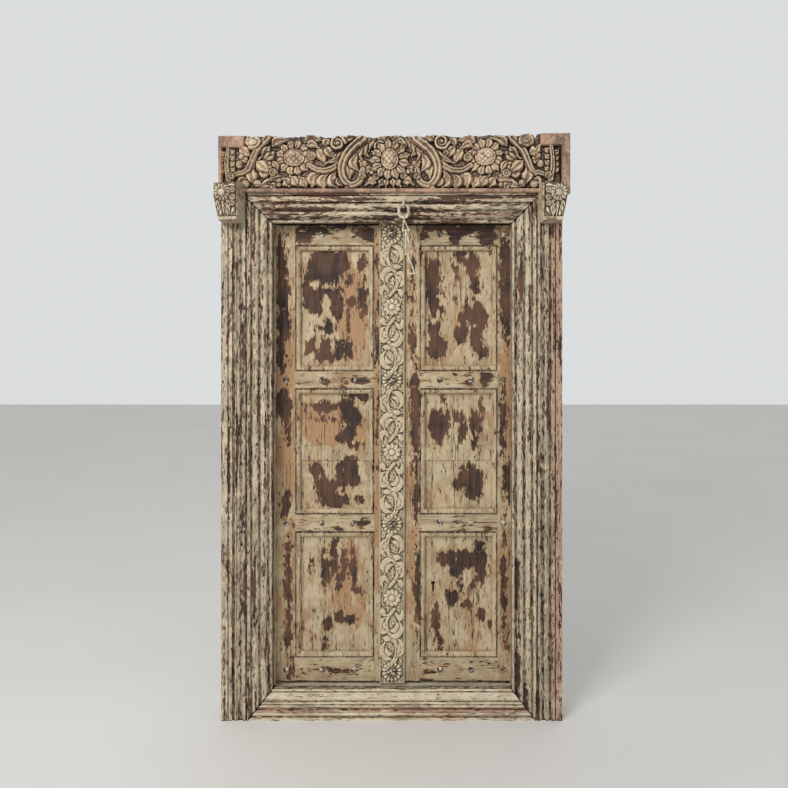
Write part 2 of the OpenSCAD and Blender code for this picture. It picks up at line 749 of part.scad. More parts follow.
module beads(side, bay) {
    w = upper_edge(side) - lower_edge(side);
    z = leaf_z + rail_z[bay] + rail_h[bay];
    color(PAINT) translate([(lower_edge(side) + upper_edge(side)) / 2, groove_y, z + bay_h / 2])
        for (turn = [0:3]) rotate([0, 90 * turn, 0]) {
            length = turn % 2 == 0 ? w : bay_h;
            reach = turn % 2 == 0 ? bay_h : w;
            translate([-length / 2, 0, -reach / 2]) bead_run(length);
        }
}

// Low domed head on a round shank, standing on the plane y = 0
module dome_nail(r, h, shank_l) {
    sphere_r = (r * r + h * h) / (2 * h);
    rotate([90, 0, 0]) rotate_extrude()
        polygon(concat([[0, -shank_l], [nail_shank_r, -shank_l], [nail_shank_r, 0], [r, 0]],
                       [for (i = [1:arc_steps]) let (a = asin(r / sphere_r) * (1 - i / arc_steps))
                        [sphere_r * sin(a), h - sphere_r * (1 - cos(a))]]));
}

module nails(side) {
    color(IRON) for (i = [0:3]) for (x = nail_x(side))
        translate([x, leaf_y, leaf_z + rail_z[i] + rail_h[i] / 2]) dome_nail(nail_r, nail_h, nail_shank_l);
}

// Half a bay of the strip's carving, from a boss to the flower above it
strip_scroll = [
    [[-22, 4], [24, 62], [-8, 118], 13, STEM, 1],
    [[-8, 114], [-30, 168], [14, 222], 12, STEM, 1],
    [[8, 16], [30, 32], [38, 60], 15, LOBE, 0.85],
    [[-14, 14], [-34, 32], [-34, 60], 15, LOBE, 0.85],
    [[20, 72], [36, 92], [30, 122], 14, LEAF, 0.85],
    [[-2, 82], [-28, 90], [-38, 120], 16, LEAF, 0.85],
    [[-14, 132], [10, 146], [36, 134], 16, LOBE, 0.85],
    [[-24, 156], [-38, 178], [-32, 208], 13, LEAF, 0.8],
    [[-14, 176], [16, 172], [37, 190], 15, LOBE, 0.85],
    [[0, 204], [20, 208], [38, 226], 13, LEAF, 0.8]];
strip_bay = boss_z[2] - boss_z[1];

// Width and length that the half bay's ridges are drawn in
scroll_w = 92;
scroll_l = 226;

module strip_half_bay(length) {
    scale([(strip_w - 2 * strip_edge_w) / scroll_w, length / scroll_l, 1]) ridges(strip_scroll, strip_relief);
}

module carved_strip() {
    edge_h = 5;
    flower_r = 38;
    length = strip_bay / 2 - flower_r;
    color(STRIP) difference() {
        translate([strip_mid, strip_ground_y, leaf_z]) rotate([90, 0, 0]) {
            translate([-strip_w / 2, 0, -strip_back_t]) cube([strip_w, leaf_h, strip_back_t]);
            for (x = [-strip_w / 2, strip_w / 2 - strip_edge_w])
                translate([x, 0, -ridge_root]) cube([strip_edge_w, leaf_h, edge_h + ridge_root]);
            for (bay = [0:2]) {
                flower([0, (boss_z[bay] + boss_z[bay + 1]) / 2], [13, 13], flower_r, 11, 0.9 * strip_relief);
                translate([0, boss_z[bay]]) strip_half_bay(length);
                translate([0, boss_z[bay + 1]]) rotate(180) strip_half_bay(length);
            }
        }
        bosses_at(hole_grow * (nail_shank_r + joint_clear), leaf_t, hole_sides);
        translate([0, -strip_relief - past, 0])
            bosses_at(hole_grow * (boss_r + joint_clear), strip_relief + past, hole_sides);
    }
}

module strip_bosses() {
    color(IRON) for (z = boss_z) translate([strip_mid, strip_ground_y, leaf_z + z])
        dome_nail(boss_r, boss_h, nail_shank_l);
}

// The chain hangs from an eye in the head, in one upright plane
eye_y = front_y + eye_set - eye_r - eye_wire_r;
ring_top_z = head_z + chain_z - (eye_r - eye_wire_r - ring_wire_r - link_clear);
ring_low_z = ring_top_z - ring_h;

// Torus about the X axis
module eye(mid_r, wire_r) {
    rotate([0, 90, 0]) rotate_extrude() translate([mid_r, 0]) circle(r = wire_r);
}

module chain_eye() {
    color(IRON) translate([chain_x, 0, head_z + chain_z]) {
        translate([0, eye_y, 0]) eye(eye_r, eye_wire_r);
        translate([0, eye_y + eye_r - eye_wire_r / 2, 0]) rotate([-90, 0, 0])
            cylinder(r = eye_wire_r, h = eye_spike_l - (eye_y + eye_r - eye_wire_r / 2 - front_y));
    }
}

// Long ring in the X-Z plane: two round ends and two straight sides
module chain_ring() {
    end_r = ring_w / 2;
    side_l = ring_h - ring_w;
    color(IRON) translate([chain_x, eye_y, ring_top_z - end_r]) {
        rotate([90, 0, 0]) rotate_extrude(angle = 180) translate([end_r, 0]) circle(r = ring_wire_r);
        translate([0, 0, -side_l]) rotate([90, 180, 0])
            rotate_extrude(angle = 180) translate([end_r, 0]) circle(r = ring_wire_r);
        for (side = [-1, 1]) translate([side * end_r, 0, -side_l]) cylinder(r = ring_wire_r, h = side_l);
    }
}

// Each link as [drop to its lower bar, sideways lean]
links = [[46, 8], [83, 9], [66, 9]];
link_x = [chain_x, chain_x + links[0][1], chain_x + links[0][1] + links[1][1]];
link_z = [ring_low_z, ring_low_z - links[0][0], ring_low_z - links[0][0] - links[1][0]];

module rod(a, b, r) {
    d = b - a;
    tilt = acos(d[2] / norm(d));
    turn = atan2(d[1], d[0]);
    translate(a) rotate([0, tilt, turn]) cylinder(r = r, h = norm(d));
}

// A link turns on the bar above it: an eye round that bar, two spread legs and a bar of its own
module chain_link(i) {
    bar_r = i == 0 ? ring_wire_r : link_wire_r;
    top_r = bar_r + link_clear + link_wire_r;
    drop = links[i][0];
    lean = links[i][1];
    knuckle_r = 1.15 * link_wire_r;
    leg_gap = 0.4 * link_wire_r;
    color(IRON) translate([link_x[i], eye_y, link_z[i]]) {
        eye(top_r, link_wire_r);
        for (side = [-1, 1]) {
            foot = [lean + side * link_w / 2, 0, -drop];
            rod([side * leg_gap, 0, -top_r], foot, link_wire_r);
            translate(foot) sphere(r = knuckle_r);
        }
        translate([lean - link_w / 2, 0, -drop]) rotate([0, 90, 0]) cylinder(r = link_wire_r, h = link_w);
    }
}

LEFT = -1;
RIGHT = 1;

jamb_left();
jamb_right();
head();
sill();
carved_header();
header_dowels();
capital_left();
capital_right();
chain_eye();
chain_ring();
chain_link(0);  // chain_link_1
chain_link(1);  // chain_link_2
chain_link(2);  // chain_link_3
hanging_stile(LEFT);  // left_hanging_stile
meeting_stile(LEFT);  // left_meeting_stile
rail(LEFT, 3);  // left_top_rail
rail(LEFT, 2);  // left_upper_rail
rail(LEFT, 1);  // left_lower_rail
rail(LEFT, 0);  // left_bottom_rail
panel(LEFT, 2);  // left_top_panel
panel(LEFT, 1);  // left_middle_panel
panel(LEFT, 0);  // left_bottom_panel
beads(LEFT, 2);  // left_top_beads
beads(LEFT, 1);  // left_middle_beads
beads(LEFT, 0);  // left_bottom_beads
nails(LEFT);  // left_nails
carved_strip();
strip_bosses();
hanging_stile(RIGHT);  // right_hanging_stile
meeting_stile(RIGHT);  // right_meeting_stile
rail(RIGHT, 3);  // right_top_rail
rail(RIGHT, 2);  // right_upper_rail
rail(RIGHT, 1);  // right_lower_rail
rail(RIGHT, 0);  // right_bottom_rail
panel(RIGHT, 2);  // right_top_panel
panel(RIGHT, 1);  // right_middle_panel
panel(RIGHT, 0);  // right_bottom_panel
beads(RIGHT, 2);  // right_top_beads
beads(RIGHT, 1);  // right_middle_beads
beads(RIGHT, 0);  // right_bottom_beads
nails(RIGHT);  // right_nails
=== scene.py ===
"""Looks of an old carved double door: flaking paint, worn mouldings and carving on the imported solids."""
import math

import bmesh
import bpy
import numpy as np
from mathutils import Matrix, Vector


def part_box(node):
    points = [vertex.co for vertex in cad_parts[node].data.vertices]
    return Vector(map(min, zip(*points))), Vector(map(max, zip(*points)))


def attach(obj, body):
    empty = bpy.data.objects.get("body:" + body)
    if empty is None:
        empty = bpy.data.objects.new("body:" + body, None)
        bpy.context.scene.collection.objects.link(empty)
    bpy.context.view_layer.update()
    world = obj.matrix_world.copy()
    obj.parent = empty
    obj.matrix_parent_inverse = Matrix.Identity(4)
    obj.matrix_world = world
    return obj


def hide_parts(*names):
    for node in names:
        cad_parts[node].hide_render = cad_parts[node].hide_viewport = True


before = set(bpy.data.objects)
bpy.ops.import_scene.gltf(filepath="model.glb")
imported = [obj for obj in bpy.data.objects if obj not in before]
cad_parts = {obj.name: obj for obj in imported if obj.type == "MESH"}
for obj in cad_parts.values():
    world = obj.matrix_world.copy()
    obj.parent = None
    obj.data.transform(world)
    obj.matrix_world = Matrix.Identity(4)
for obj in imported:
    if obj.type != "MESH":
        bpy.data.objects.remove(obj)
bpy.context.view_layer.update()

MM = 0.001

# Camera of the photograph: its place, and the pixel scale on the frame's front plane
CAMERA_PLACE = (0.20, -2.56, 1.50)
METRES_PER_PIXEL = 0.0035
IMAGE_PIXELS = 788
DOOR_MIDDLE_PIXEL = 391.7
FLOOR_PIXEL = 721.0
SENSOR_MM = 36.0


def srgb(red, green, blue):
    """Linear colour from values of 0 to 255."""
    return tuple(((c / 255 + 0.055) / 1.055) ** 2.4 for c in (red, green, blue)) + (1.0,)


BONE = srgb(224, 211, 184)
CREAM = srgb(211, 195, 165)
OLD_CREAM = srgb(200, 183, 150)
GREY_GREEN = srgb(180, 168, 143)
BUFF = srgb(183, 162, 129)
TAN = srgb(177, 140, 103)
SALMON = srgb(186, 152, 127)
PINK_BROWN = srgb(128, 104, 88)
UMBER = srgb(128, 101, 75)
BARE_DARK = srgb(58, 47, 43)
BARE_RED = srgb(104, 75, 59)
# Brown of the painted shade in the strip's and capitals' cuts
CUT_SHADE_BROWN = srgb(78, 63, 49)
# Near black of painted shade, and of the cracks in the paint
SHADE_AND_CRACK_DARK = srgb(27, 21, 19)
PALE_FLOOR = srgb(226, 225, 222)
BACKGROUND = srgb(219, 221, 223)
WHITE = srgb(255, 255, 255)


def add_node(tree, kind, settings=None, sockets=None):
    """Adds a node. Its sockets take values, or links from sockets of other nodes."""
    made = tree.nodes.new(kind)
    for key, value in (settings or {}).items():
        setattr(made, key, value)
    for key, value in (sockets or {}).items():
        if isinstance(value, bpy.types.NodeSocket):
            tree.links.new(value, made.inputs[key])
        else:
            made.inputs[key].default_value = value
    return made


def new_object(name, data):
    """Object in the scene."""
    obj = bpy.data.objects.new(name, data)
    bpy.context.scene.collection.objects.link(obj)
    return obj


def maths(operation, turned=False):
    """Method of Field that joins it to another value by a Math node. Turned puts the other value first."""
    def method(self, other=0.0):
        first, second = (other, self) if turned else (self, other)
        return self.shader.field("ShaderNodeMath", {"operation": operation}, {0: first, 1: second})
    return method


class Field:
    """A socket of a material's node tree. Arithmetic on it adds Math nodes."""

    def __init__(self, shader, socket):
        self.shader = shader
        self.socket = socket

    __add__ = maths("ADD")
    __radd__ = maths("ADD", turned=True)
    __sub__ = maths("SUBTRACT")
    __rsub__ = maths("SUBTRACT", turned=True)
    __mul__ = maths("MULTIPLY")
    __rmul__ = maths("MULTIPLY", turned=True)
    most = maths("MAXIMUM")
    size = maths("ABSOLUTE")

    def between(self, low, high):
        """0 under low and 1 over high, with a smooth step from one to the other."""
        return self.shader.field("ShaderNodeMapRange", {"interpolation_type": "SMOOTHSTEP"},
                                 {"Value": self, "From Min": low, "From Max": high})


class Shader:
    """A material whose nodes come from expressions."""

    def __init__(self, name):
        self.material = bpy.data.materials.new(name)
        self.material.use_nodes = True
        self.tree = self.material.node_tree
        self.tree.nodes.clear()
        self.place = self.field("ShaderNodeTexCoord", output="Object")

    def node(self, kind, settings=None, sockets=None):
        plain = {key: getattr(value, "socket", value) for key, value in (sockets or {}).items()}
        return add_node(self.tree, kind, settings, plain)

    def field(self, kind, settings=None, sockets=None, output=0):
        return Field(self, self.node(kind, settings, sockets).outputs[output])

    def wear(self, name):
        return self.field("ShaderNodeAttribute", {"attribute_name": name}, output="Fac")

    def noise(self, scale, detail=3.0, roughness=0.55, place=None):
        return self.field("ShaderNodeTexNoise", sockets={
            "Vector": place or self.place, "Scale": scale, "Detail": detail, "Roughness": roughness})

    def drawn(self, grain, share, scale, detail=3.0, roughness=0.55):
        """Noise that is drawn out along one axis, where its scale is only a share of what it is across."""
        stretch = tuple(share if axis == grain else 1.0 for axis in "XYZ")
        place = self.field("ShaderNodeVectorMath", {"operation": "MULTIPLY"}, {0: self.place, 1: stretch})
        return self.noise(scale, detail, roughness, place)

    def mix(self, amount, first, second):
        return self.field("ShaderNodeMix", {"data_type": "RGBA"}, {0: amount, 6: first, 7: second}, output=2)

    def finish(self, colour, roughness, height, depth):
        """Ends the tree; height is in units of depth, which is in metres."""
        normal = self.field("ShaderNodeBump", sockets={"Strength": 1.0, "Distance": depth, "Height": height})
        surface = self.field("ShaderNodeBsdfPrincipled", sockets={
            "Base Color": colour, "Roughness": roughness, "Normal": normal, "Specular IOR Level": 0.3})
        self.node("ShaderNodeOutputMaterial", sockets={"Surface": surface})
        return self.material


def flaking_paint(name, grain, paint, undercoat, chips, warmth, breakup=1.0):
    """Two tones of paint over an undercoat over dark wood, gone where the piece's wear says, with dark cracks
    and painted shade where its recess values say.
    """
    s = Shader(name)
    loss = s.wear("loss")
    recess = s.wear("recess")
    warm = s.wear("warm")
    cloud = s.noise(8.0)
    ragged = s.drawn(grain, 0.45 / breakup, 50.0 * breakup, 6.0, 0.66)
    fine = s.drawn(grain, 0.3, 190.0, 4.0, 0.6)
    edge = loss + (cloud - 0.5) * 16.0 + (ragged - 0.5) * 72.0 + (fine - 0.5) * 34.0
    bare = edge.between(-0.8, 0.8)
    flecks = s.drawn(grain, 0.22, 95.0 * breakup, 5.0, 0.68)
    gone = bare.most((flecks + chips).between(0.655, 0.675))
    split = (s.drawn(grain, 0.03, 85.0, 2.0) - 0.5).size()
    where = s.drawn(grain, 0.2, 16.0).between(0.5, 0.58)
    crack = (1.0 - split.between(0.003, 0.012)) * where
    tone = s.noise(21.0, 4.0)
    coat = s.mix(tone.between(0.38, 0.62), *paint)
    patch = s.drawn(grain, 0.4, 17.0, 6.0, 0.68)
    thin = warm + (patch - 0.5) * 2.6 + (flecks - 0.5) * 1.6 + warmth
    coat = s.mix(thin.between(0.25, 0.6), coat, undercoat)
    coat = s.mix((edge + (flecks - 0.5) * 14.0).between(-9.0, -1.5) * 0.75, coat, undercoat)
    stain = s.drawn(grain, 0.15, 30.0, 5.0, 0.7).between(0.5, 0.7)
    coat = s.mix(stain * 0.5, coat, UMBER)
    coat = s.mix(fine.between(0.55, 0.68) * 0.5, coat, BARE_RED)
    fibre = s.drawn(grain, 0.05, 150.0, 4.0, 0.6)
    wood = s.mix((fibre * 0.4 + cloud * 0.6).between(0.4, 0.6), BARE_DARK, BARE_RED)
    colour = s.mix(gone, coat, wood)
    # Painted shade from the recess values, broken by noise; the cracks are real and share its dark colour
    painted_shade = (recess + (flecks - 0.5) * 0.9 + (fine - 0.5) * 0.5).between(0.4, 0.9)
    colour = s.mix(painted_shade.most(crack), colour, SHADE_AND_CRACK_DARK)
    height = (1.0 - gone) * 0.6 + fine * 0.5 + fibre * 0.3 - crack * 0.8
    roughness = 0.58 + gone * 0.1 + fine * 0.15
    return s.finish(colour, roughness, height, depth=0.0014)


def carved_paint(name, body_tones, highlight_tone, shade_tone, highlight_bias, shade_bias):
    """Worn paint on carving, with painted shade in the cuts and painted highlight on the crests."""
    s = Shader(name)
    recess = s.wear("recess")
    crest = s.wear("crest")
    broad = s.noise(11.0, 4.0)
    spots = s.noise(70.0, 5.0, 0.65)
    fine = s.noise(240.0, 4.0, 0.6)
    body = s.mix((broad * 0.5 + spots * 0.5).between(0.42, 0.58), *body_tones)
    # Painted highlight on the crests
    highlight = (crest + (spots - 0.5) * 1.5 + (broad - 0.5) * 1.2 + highlight_bias).between(0.35, 0.75)
    colour = s.mix(highlight, body, highlight_tone)
    worn = (spots + (fine - 0.5) * 0.4).between(0.66, 0.72)
    colour = s.mix(worn * 0.7, colour, BARE_RED)
    # Painted shade in the cuts
    painted_shade = (recess + (spots - 0.5) * 0.6 + (fine - 0.5) * 0.3 + shade_bias).between(0.35, 0.85)
    colour = s.mix(painted_shade, colour, shade_tone)
    height = spots * 0.5 + fine * 0.5
    return s.finish(colour, 0.6 + fine * 0.2, height, depth=0.0012)


def painted_iron(name, kept):
    """Iron under old paint that has chipped to a dark skin. More kept leaves more of the paint."""
    s = Shader(name)
    spots = s.noise(130.0, 5.0, 0.65)
    fine = s.noise(420.0, 3.0)
    gone = (spots + (fine - 0.5) * 0.3).between(kept, kept + 0.03)
    colour = s.mix(s.noise(60.0).between(0.4, 0.6), BONE, GREY_GREEN)
    colour = s.mix(gone, colour, BARE_DARK)
    return s.finish(colour, 0.5 + fine * 0.25, (1.0 - gone) * 0.6 + fine * 0.4, depth=0.0008)


def bare_wood(name):
    """Plain dark wood that was never painted."""
    s = Shader(name)
    fibre = s.drawn("Z", 0.06, 160.0, 5.0, 0.6)
    colour = s.mix(fibre.between(0.35, 0.65), BARE_DARK, BARE_RED)
    return s.finish(colour, 0.6 + fibre * 0.2, fibre, depth=0.001)


LEAF_TONES = (OLD_CREAM, BUFF)
FRAME_TONES = (CREAM, GREY_GREEN)
STILE_PAINT = flaking_paint("leaf_paint_upright", "Z", LEAF_TONES, TAN, chips=0.035, warmth=0.4)
RAIL_PAINT = flaking_paint("leaf_paint_level", "X", LEAF_TONES, TAN, chips=0.05, warmth=0.15)
PANEL_PAINT = flaking_paint("leaf_paint_panel", "Z", LEAF_TONES, TAN, chips=0.035, warmth=0.3)
JAMB_PAINT = flaking_paint("frame_paint_upright", "Z", FRAME_TONES, SALMON, chips=0.07, warmth=-0.1,
                           breakup=2.0)
HEAD_PAINT = flaking_paint("frame_paint_level", "X", FRAME_TONES, SALMON, chips=0.07, warmth=-0.05,
                           breakup=2.0)
SILL_PAINT = flaking_paint("sill_paint", "X", (BONE, CREAM), SALMON, chips=0.05, warmth=-0.05, breakup=2.0)
HEADER_PAINT = carved_paint("header_paint", (PINK_BROWN, SALMON), CREAM, SHADE_AND_CRACK_DARK, highlight_bias=0.22,
                            shade_bias=-0.12)
STRIP_PAINT = carved_paint("strip_paint", (OLD_CREAM, CREAM), BONE, CUT_SHADE_BROWN, highlight_bias=0.45,
                           shade_bias=-0.22)
CAPITAL_PAINT = carved_paint("capital_paint", (UMBER, GREY_GREEN), BONE, CUT_SHADE_BROWN, highlight_bias=0.0,
                             shade_bias=-0.18)
NAIL_IRON = painted_iron("nail_iron", kept=0.47)
CHAIN_IRON = painted_iron("chain_iron", kept=0.6)
DOWEL_WOOD = bare_wood("bare_wood")


def ripple(u, v, wavelength, seed):
    """Smooth random field of about unit height, the same on each run."""
    rng = np.random.default_rng(seed)
    waves = 20
    total = np.zeros(np.broadcast(u, v).shape)
    for _ in range(waves):
        turn = rng.uniform(0, 2 * math.pi)
        reach = 2 * math.pi / (wavelength * rng.uniform(0.7, 1.6))
        shift = rng.uniform(0, 2 * math.pi)
        total += np.cos(reach * (u * math.cos(turn) + v * math.sin(turn)) + shift)
    return total / math.sqrt(waves / 2)


class Piece:
    """Mesh of one piece in metres, with wear and painted-shade values at its vertices."""

    def __init__(self):
        self.verts = []
        self.faces = []
        self.recess = []
        self.count = 0

    def add(self, verts, faces, recess=0.0):
        shift = self.count
        self.faces += [[i + shift for i in face] for face in faces]
        self.verts.append(verts)
        self.recess.append(np.broadcast_to(recess, len(verts)))
        self.count += len(verts)

    def build(self, name, node, body, slot, material, **wear):
        """Makes the object, in place of a CAD node. Wear and painted-shade values are arrays or functions of
        the points.
        """
        verts = np.concatenate(self.verts)
        mesh = bpy.data.meshes.new(name)
        mesh.from_pydata(verts.tolist(), [], self.faces)
        shell = bmesh.new()
        shell.from_mesh(mesh)
        bmesh.ops.recalc_face_normals(shell, faces=shell.faces)
        shell.to_mesh(mesh)
        shell.free()
        mesh.shade_smooth()
        mesh.set_sharp_from_angle(angle=math.radians(38))
        wear["recess"] = np.concatenate(self.recess)
        for key, value in wear.items():
            values = value(verts) if callable(value) else value
            filled = np.ascontiguousarray(np.broadcast_to(values, len(verts)), np.float32)
            mesh.attributes.new(key, "FLOAT", "POINT").data.foreach_set("value", filled)
        mesh.materials.append(material)
        obj = new_object(name, mesh)
        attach(obj, body)
        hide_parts(node)


def sweep(section, start, end, step, axis):
    """Closed rod along X or Z. Its ends may lie at another place for each point of the section."""
    section = np.asarray(section)
    count = len(section)
    start = np.broadcast_to(start, count)
    end = np.broadcast_to(end, count)
    rings = int(math.ceil((end - start).max() / step)) + 1
    along = start + (end - start) * np.linspace(0, 1, rings)[:, None]
    first = np.broadcast_to(section[:, 0], along.shape)
    second = np.broadcast_to(section[:, 1], along.shape)
    order = (along, first, second) if axis == "X" else (first, second, along)
    verts = np.stack(order, axis=-1).reshape(-1, 3)
    ring = np.arange(count)
    after = (ring + 1) % count
    base = (np.arange(rings - 1) * count)[:, None]
    quads = np.stack([base + ring, base + after, base + count + after, base + count + ring], axis=-1)
    last = (rings - 1) * count
    return verts, quads.reshape(-1, 4).tolist() + [ring[::-1].tolist(), (ring + last).tolist()]


def finer(points, gap):
    """The closed outline with points added so that none lie further apart than gap."""
    points = np.asarray(points)
    out = []
    for a, b in zip(points, np.roll(points, -1, axis=0)):
        parts = max(1, int(math.ceil(np.linalg.norm(b - a) / gap)))
        out += [a + (b - a) * i / parts for i in range(parts)]
    return np.array(out)


def worn_rectangle(low, high, arris, gap):
    """Outline of a board's section with its corners worn off."""
    (a0, b0), (a1, b1) = low, high
    corners = [(a0 + arris, b0), (a1 - arris, b0), (a1, b0 + arris), (a1, b1 - arris),
               (a1 - arris, b1), (a0 + arris, b1), (a0, b1 - arris), (a0, b0 + arris)]
    return finer(corners, gap)


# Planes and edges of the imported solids
JAMB_LOW, JAMB_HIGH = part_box("jamb_right")
HEAD_LOW, HEAD_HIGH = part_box("head")
STILE_LOW, STILE_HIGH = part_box("left_meeting_stile")
FRONT_Y = JAMB_LOW[1]
BACK_Y = JAMB_HIGH[1]
OPEN_HALF = JAMB_LOW[0]
OUTER_HALF = JAMB_HIGH[0]
FRAME_TOP = HEAD_HIGH[2]
HEAD_Z = HEAD_LOW[2]
SILL_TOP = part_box("sill")[1][2]
LEAF_Y = STILE_LOW[1]
LEAF_BACK = STILE_HIGH[1]
LEAF_Z = STILE_LOW[2]
LEAF_TOP = STILE_HIGH[2]
LEAF_MIDDLE_Y = (LEAF_Y + LEAF_BACK) / 2
HEEL_R = (LEAF_BACK - LEAF_Y) / 2
SIGN = {"left": -1, "right": 1}
RAILS = ("top", "upper", "lower", "bottom")
PANELS = ("top", "middle", "bottom")


def leaf_point(px, py):
    """Place on the leaves' front face that shows at a pixel of the photograph."""
    x = (px - DOOR_MIDDLE_PIXEL) * METRES_PER_PIXEL
    z = (FLOOR_PIXEL - py) * METRES_PER_PIXEL
    further = (LEAF_Y - CAMERA_PLACE[1]) / (FRONT_Y - CAMERA_PLACE[1])
    return (CAMERA_PLACE[0] + (x - CAMERA_PLACE[0]) * further,
            CAMERA_PLACE[2] + (z - CAMERA_PLACE[2]) * further)


def patch_depth(verts, patch):
    """How far inside an oval patch each point lies, in millimetres; under 0 outside."""
    px, py, rx, ry = patch
    x, z = leaf_point(px, py)
    half_w = rx * METRES_PER_PIXEL
    half_h = ry * METRES_PER_PIXEL
    ratio = np.hypot((verts[:, 0] - x) / half_w, (verts[:, 2] - z) / half_h)
    return (1 - ratio) * min(half_w, half_h) / MM


# Paint loss in millimetres away from the bare patches, on the leaves' backs and at most
SOUND_PAINT = -31.0
HIDDEN_PAINT = -9.0
DEEPEST_LOSS = 15.0
# Share of warm undercoat: away from the warm patches, at most inside them, and on the leaves' backs
COOL, WARMEST, HIDDEN_WARMTH = -0.1, 0.4, -0.3
# Millimetres inside a warm patch over which that share would rise by 1
WARMTH_FADE = 30.0


def deepest(verts, patches, least):
    """How far inside any of the patches each point lies, in millimetres, and not under least."""
    depth = np.full(len(verts), least)
    for patch in patches:
        depth = np.maximum(depth, patch_depth(verts, patch))
    return depth


# Bare patches, paint kept inside them and warm patches: pixel place and half sizes, by node
BARE = {
    "left_top_panel": [
        (327, 266, 22, 17), (321, 285, 20, 24), (336, 301, 8, 21), (314, 304, 12, 10), (324, 328, 11, 10),
        (329, 350, 21, 13), (347, 350, 7, 11), (362, 263, 5, 7), (362, 298, 4.5, 19), (352, 301, 5.5, 5.5),
        (341, 258, 7, 7), (349, 281, 3, 6), (348, 320, 2.5, 8), (311, 343, 5, 6)],
    "right_top_panel": [
        (432, 274, 8, 18), (433, 296, 7, 18), (435, 328, 7, 17), (437, 347, 10, 12), (471, 263, 8, 13),
        (464, 257, 8, 5), (474, 285, 5, 17), (473, 312, 9, 14), (482, 318, 6.5, 11), (461, 335, 7, 10),
        (462, 320, 4, 6), (477, 339, 7, 14), (482, 352, 6, 7), (442, 308, 2, 8), (456, 276, 1.5, 12)],
    "left_middle_panel": [
        (325, 407, 18, 5.5), (349, 410, 10, 13), (356, 418, 6.5, 11), (349, 432, 8, 14), (342, 439, 7, 5.5),
        (358, 397, 11, 5), (324, 420, 6.5, 2.2), (337, 422, 4, 2), (355, 446, 8, 3.5), (316, 471, 7, 7),
        (327, 490, 12, 15), (340, 478, 9, 13), (349, 468, 10, 12), (353, 483, 6, 9), (334, 502, 20, 6.5),
        (357, 501, 6, 5)],
    "right_middle_panel": [
        (437, 427, 9.5, 20), (446, 424, 4.5, 13), (463, 430, 5.5, 11), (456, 420, 3.5, 5),
        (475, 427, 6.5, 12), (475, 440, 4.5, 8), (480, 413, 1.6, 6), (471, 479, 13, 12), (473, 492, 9, 10),
        (457, 486, 6, 6), (468, 468, 9, 4), (443, 400, 1.6, 4)],
    "left_bottom_panel": [
        (325, 573, 5.5, 13), (333, 549, 4.5, 10), (324, 551, 3, 8), (334, 568, 3.5, 6), (344, 567, 3, 15),
        (338, 583, 2.6, 10), (354, 570, 3.2, 14), (312, 565, 2.5, 5), (339, 619, 5.5, 8), (327, 626, 6, 8),
        (349, 621, 11, 4), (324, 642, 2.4, 10), (358, 592, 4, 2)],
    "right_bottom_panel": [
        (461, 561, 25, 11), (455, 572, 8, 8), (481, 567, 7.5, 16), (480, 547, 6, 6), (452, 599, 6.5, 8),
        (450, 591, 3, 4), (436, 619, 4, 18), (440, 642, 2.6, 8), (460, 590, 2, 9), (473, 588, 2, 6),
        (466, 606, 7, 4), (482, 616, 5, 5), (490, 626, 3, 5)],
    "left_top_rail": [(316, 230, 22, 5.5), (304, 237, 11, 7), (338, 227, 16, 4.5), (367, 234, 10, 7)],
    "right_top_rail": [(455, 230, 42, 7), (487, 236, 11, 11), (455, 239, 7, 7), (425, 234, 8, 5)],
    "left_upper_rail": [(326, 382, 3, 3), (360, 380, 10, 3), (346, 382, 3, 2)],
    "right_upper_rail": [(485, 378, 8, 7), (462, 376, 7, 2), (469, 384, 5, 3)],
    "left_lower_rail": [(361, 523, 7, 3.5), (339, 530, 4, 3), (303, 520, 3, 2)],
    "right_lower_rail": [(463, 530, 6, 3), (488, 530, 3, 2)],
    "left_bottom_rail": [(330, 671, 14, 1.5), (352, 672, 2, 1.5)],
    "right_bottom_rail": [(430, 673, 6, 2), (425, 681, 6, 2)],
    "left_hanging_stile": [
        (281, 262, 6, 20), (283, 290, 6, 24), (284, 322, 7, 20), (281, 352, 6, 20), (284, 408, 8, 19),
        (288, 437, 3, 8), (286, 502, 5, 13), (288, 575, 4, 30), (288, 628, 3, 20), (291, 668, 3, 7),
        (297, 519, 4, 8)],
    "right_hanging_stile": [
        (506, 262, 7, 26), (506, 300, 6.5, 42), (503, 418, 2.6, 36), (508, 483, 5, 18), (504, 580, 3.4, 46),
        (507, 640, 3, 10)],
    "left_meeting_stile": [(378, 258, 2, 9), (378, 358, 2.4, 24), (379, 300, 1.2, 18), (378, 420, 1.2, 20)],
    "right_meeting_stile": [
        (413, 310, 2, 20), (412, 340, 3, 14), (415, 382, 5, 9), (415, 426, 4.5, 50), (416, 505, 3.2, 28),
        (418, 580, 3.6, 46), (413, 268, 2, 14)],
}
KEPT = {
    "left_top_panel": [
        (315, 284, 4.5, 5), (327, 286, 8, 3.5), (326, 302, 3.5, 8), (309, 323, 6, 12), (320, 321, 6, 6),
        (319, 341, 3, 8), (333, 345, 2, 10), (310, 357, 6, 5)],
    "right_top_panel": [(435, 321, 4, 4), (465, 257, 2.5, 3), (484, 346, 2.5, 3), (470, 302, 4, 5)],
    "left_middle_panel": [(330, 475, 4.5, 8), (340, 492, 3.6, 5), (334, 402, 6.5, 2.6), (331, 425, 9, 2)],
    "right_top_rail": [(438, 236, 9, 5), (471, 238, 7.5, 6)],
    "left_top_rail": [(319, 237, 6, 4), (349, 237, 9, 5)],
    "right_bottom_panel": [(468, 579, 6, 7), (474, 548, 3, 4)],
}
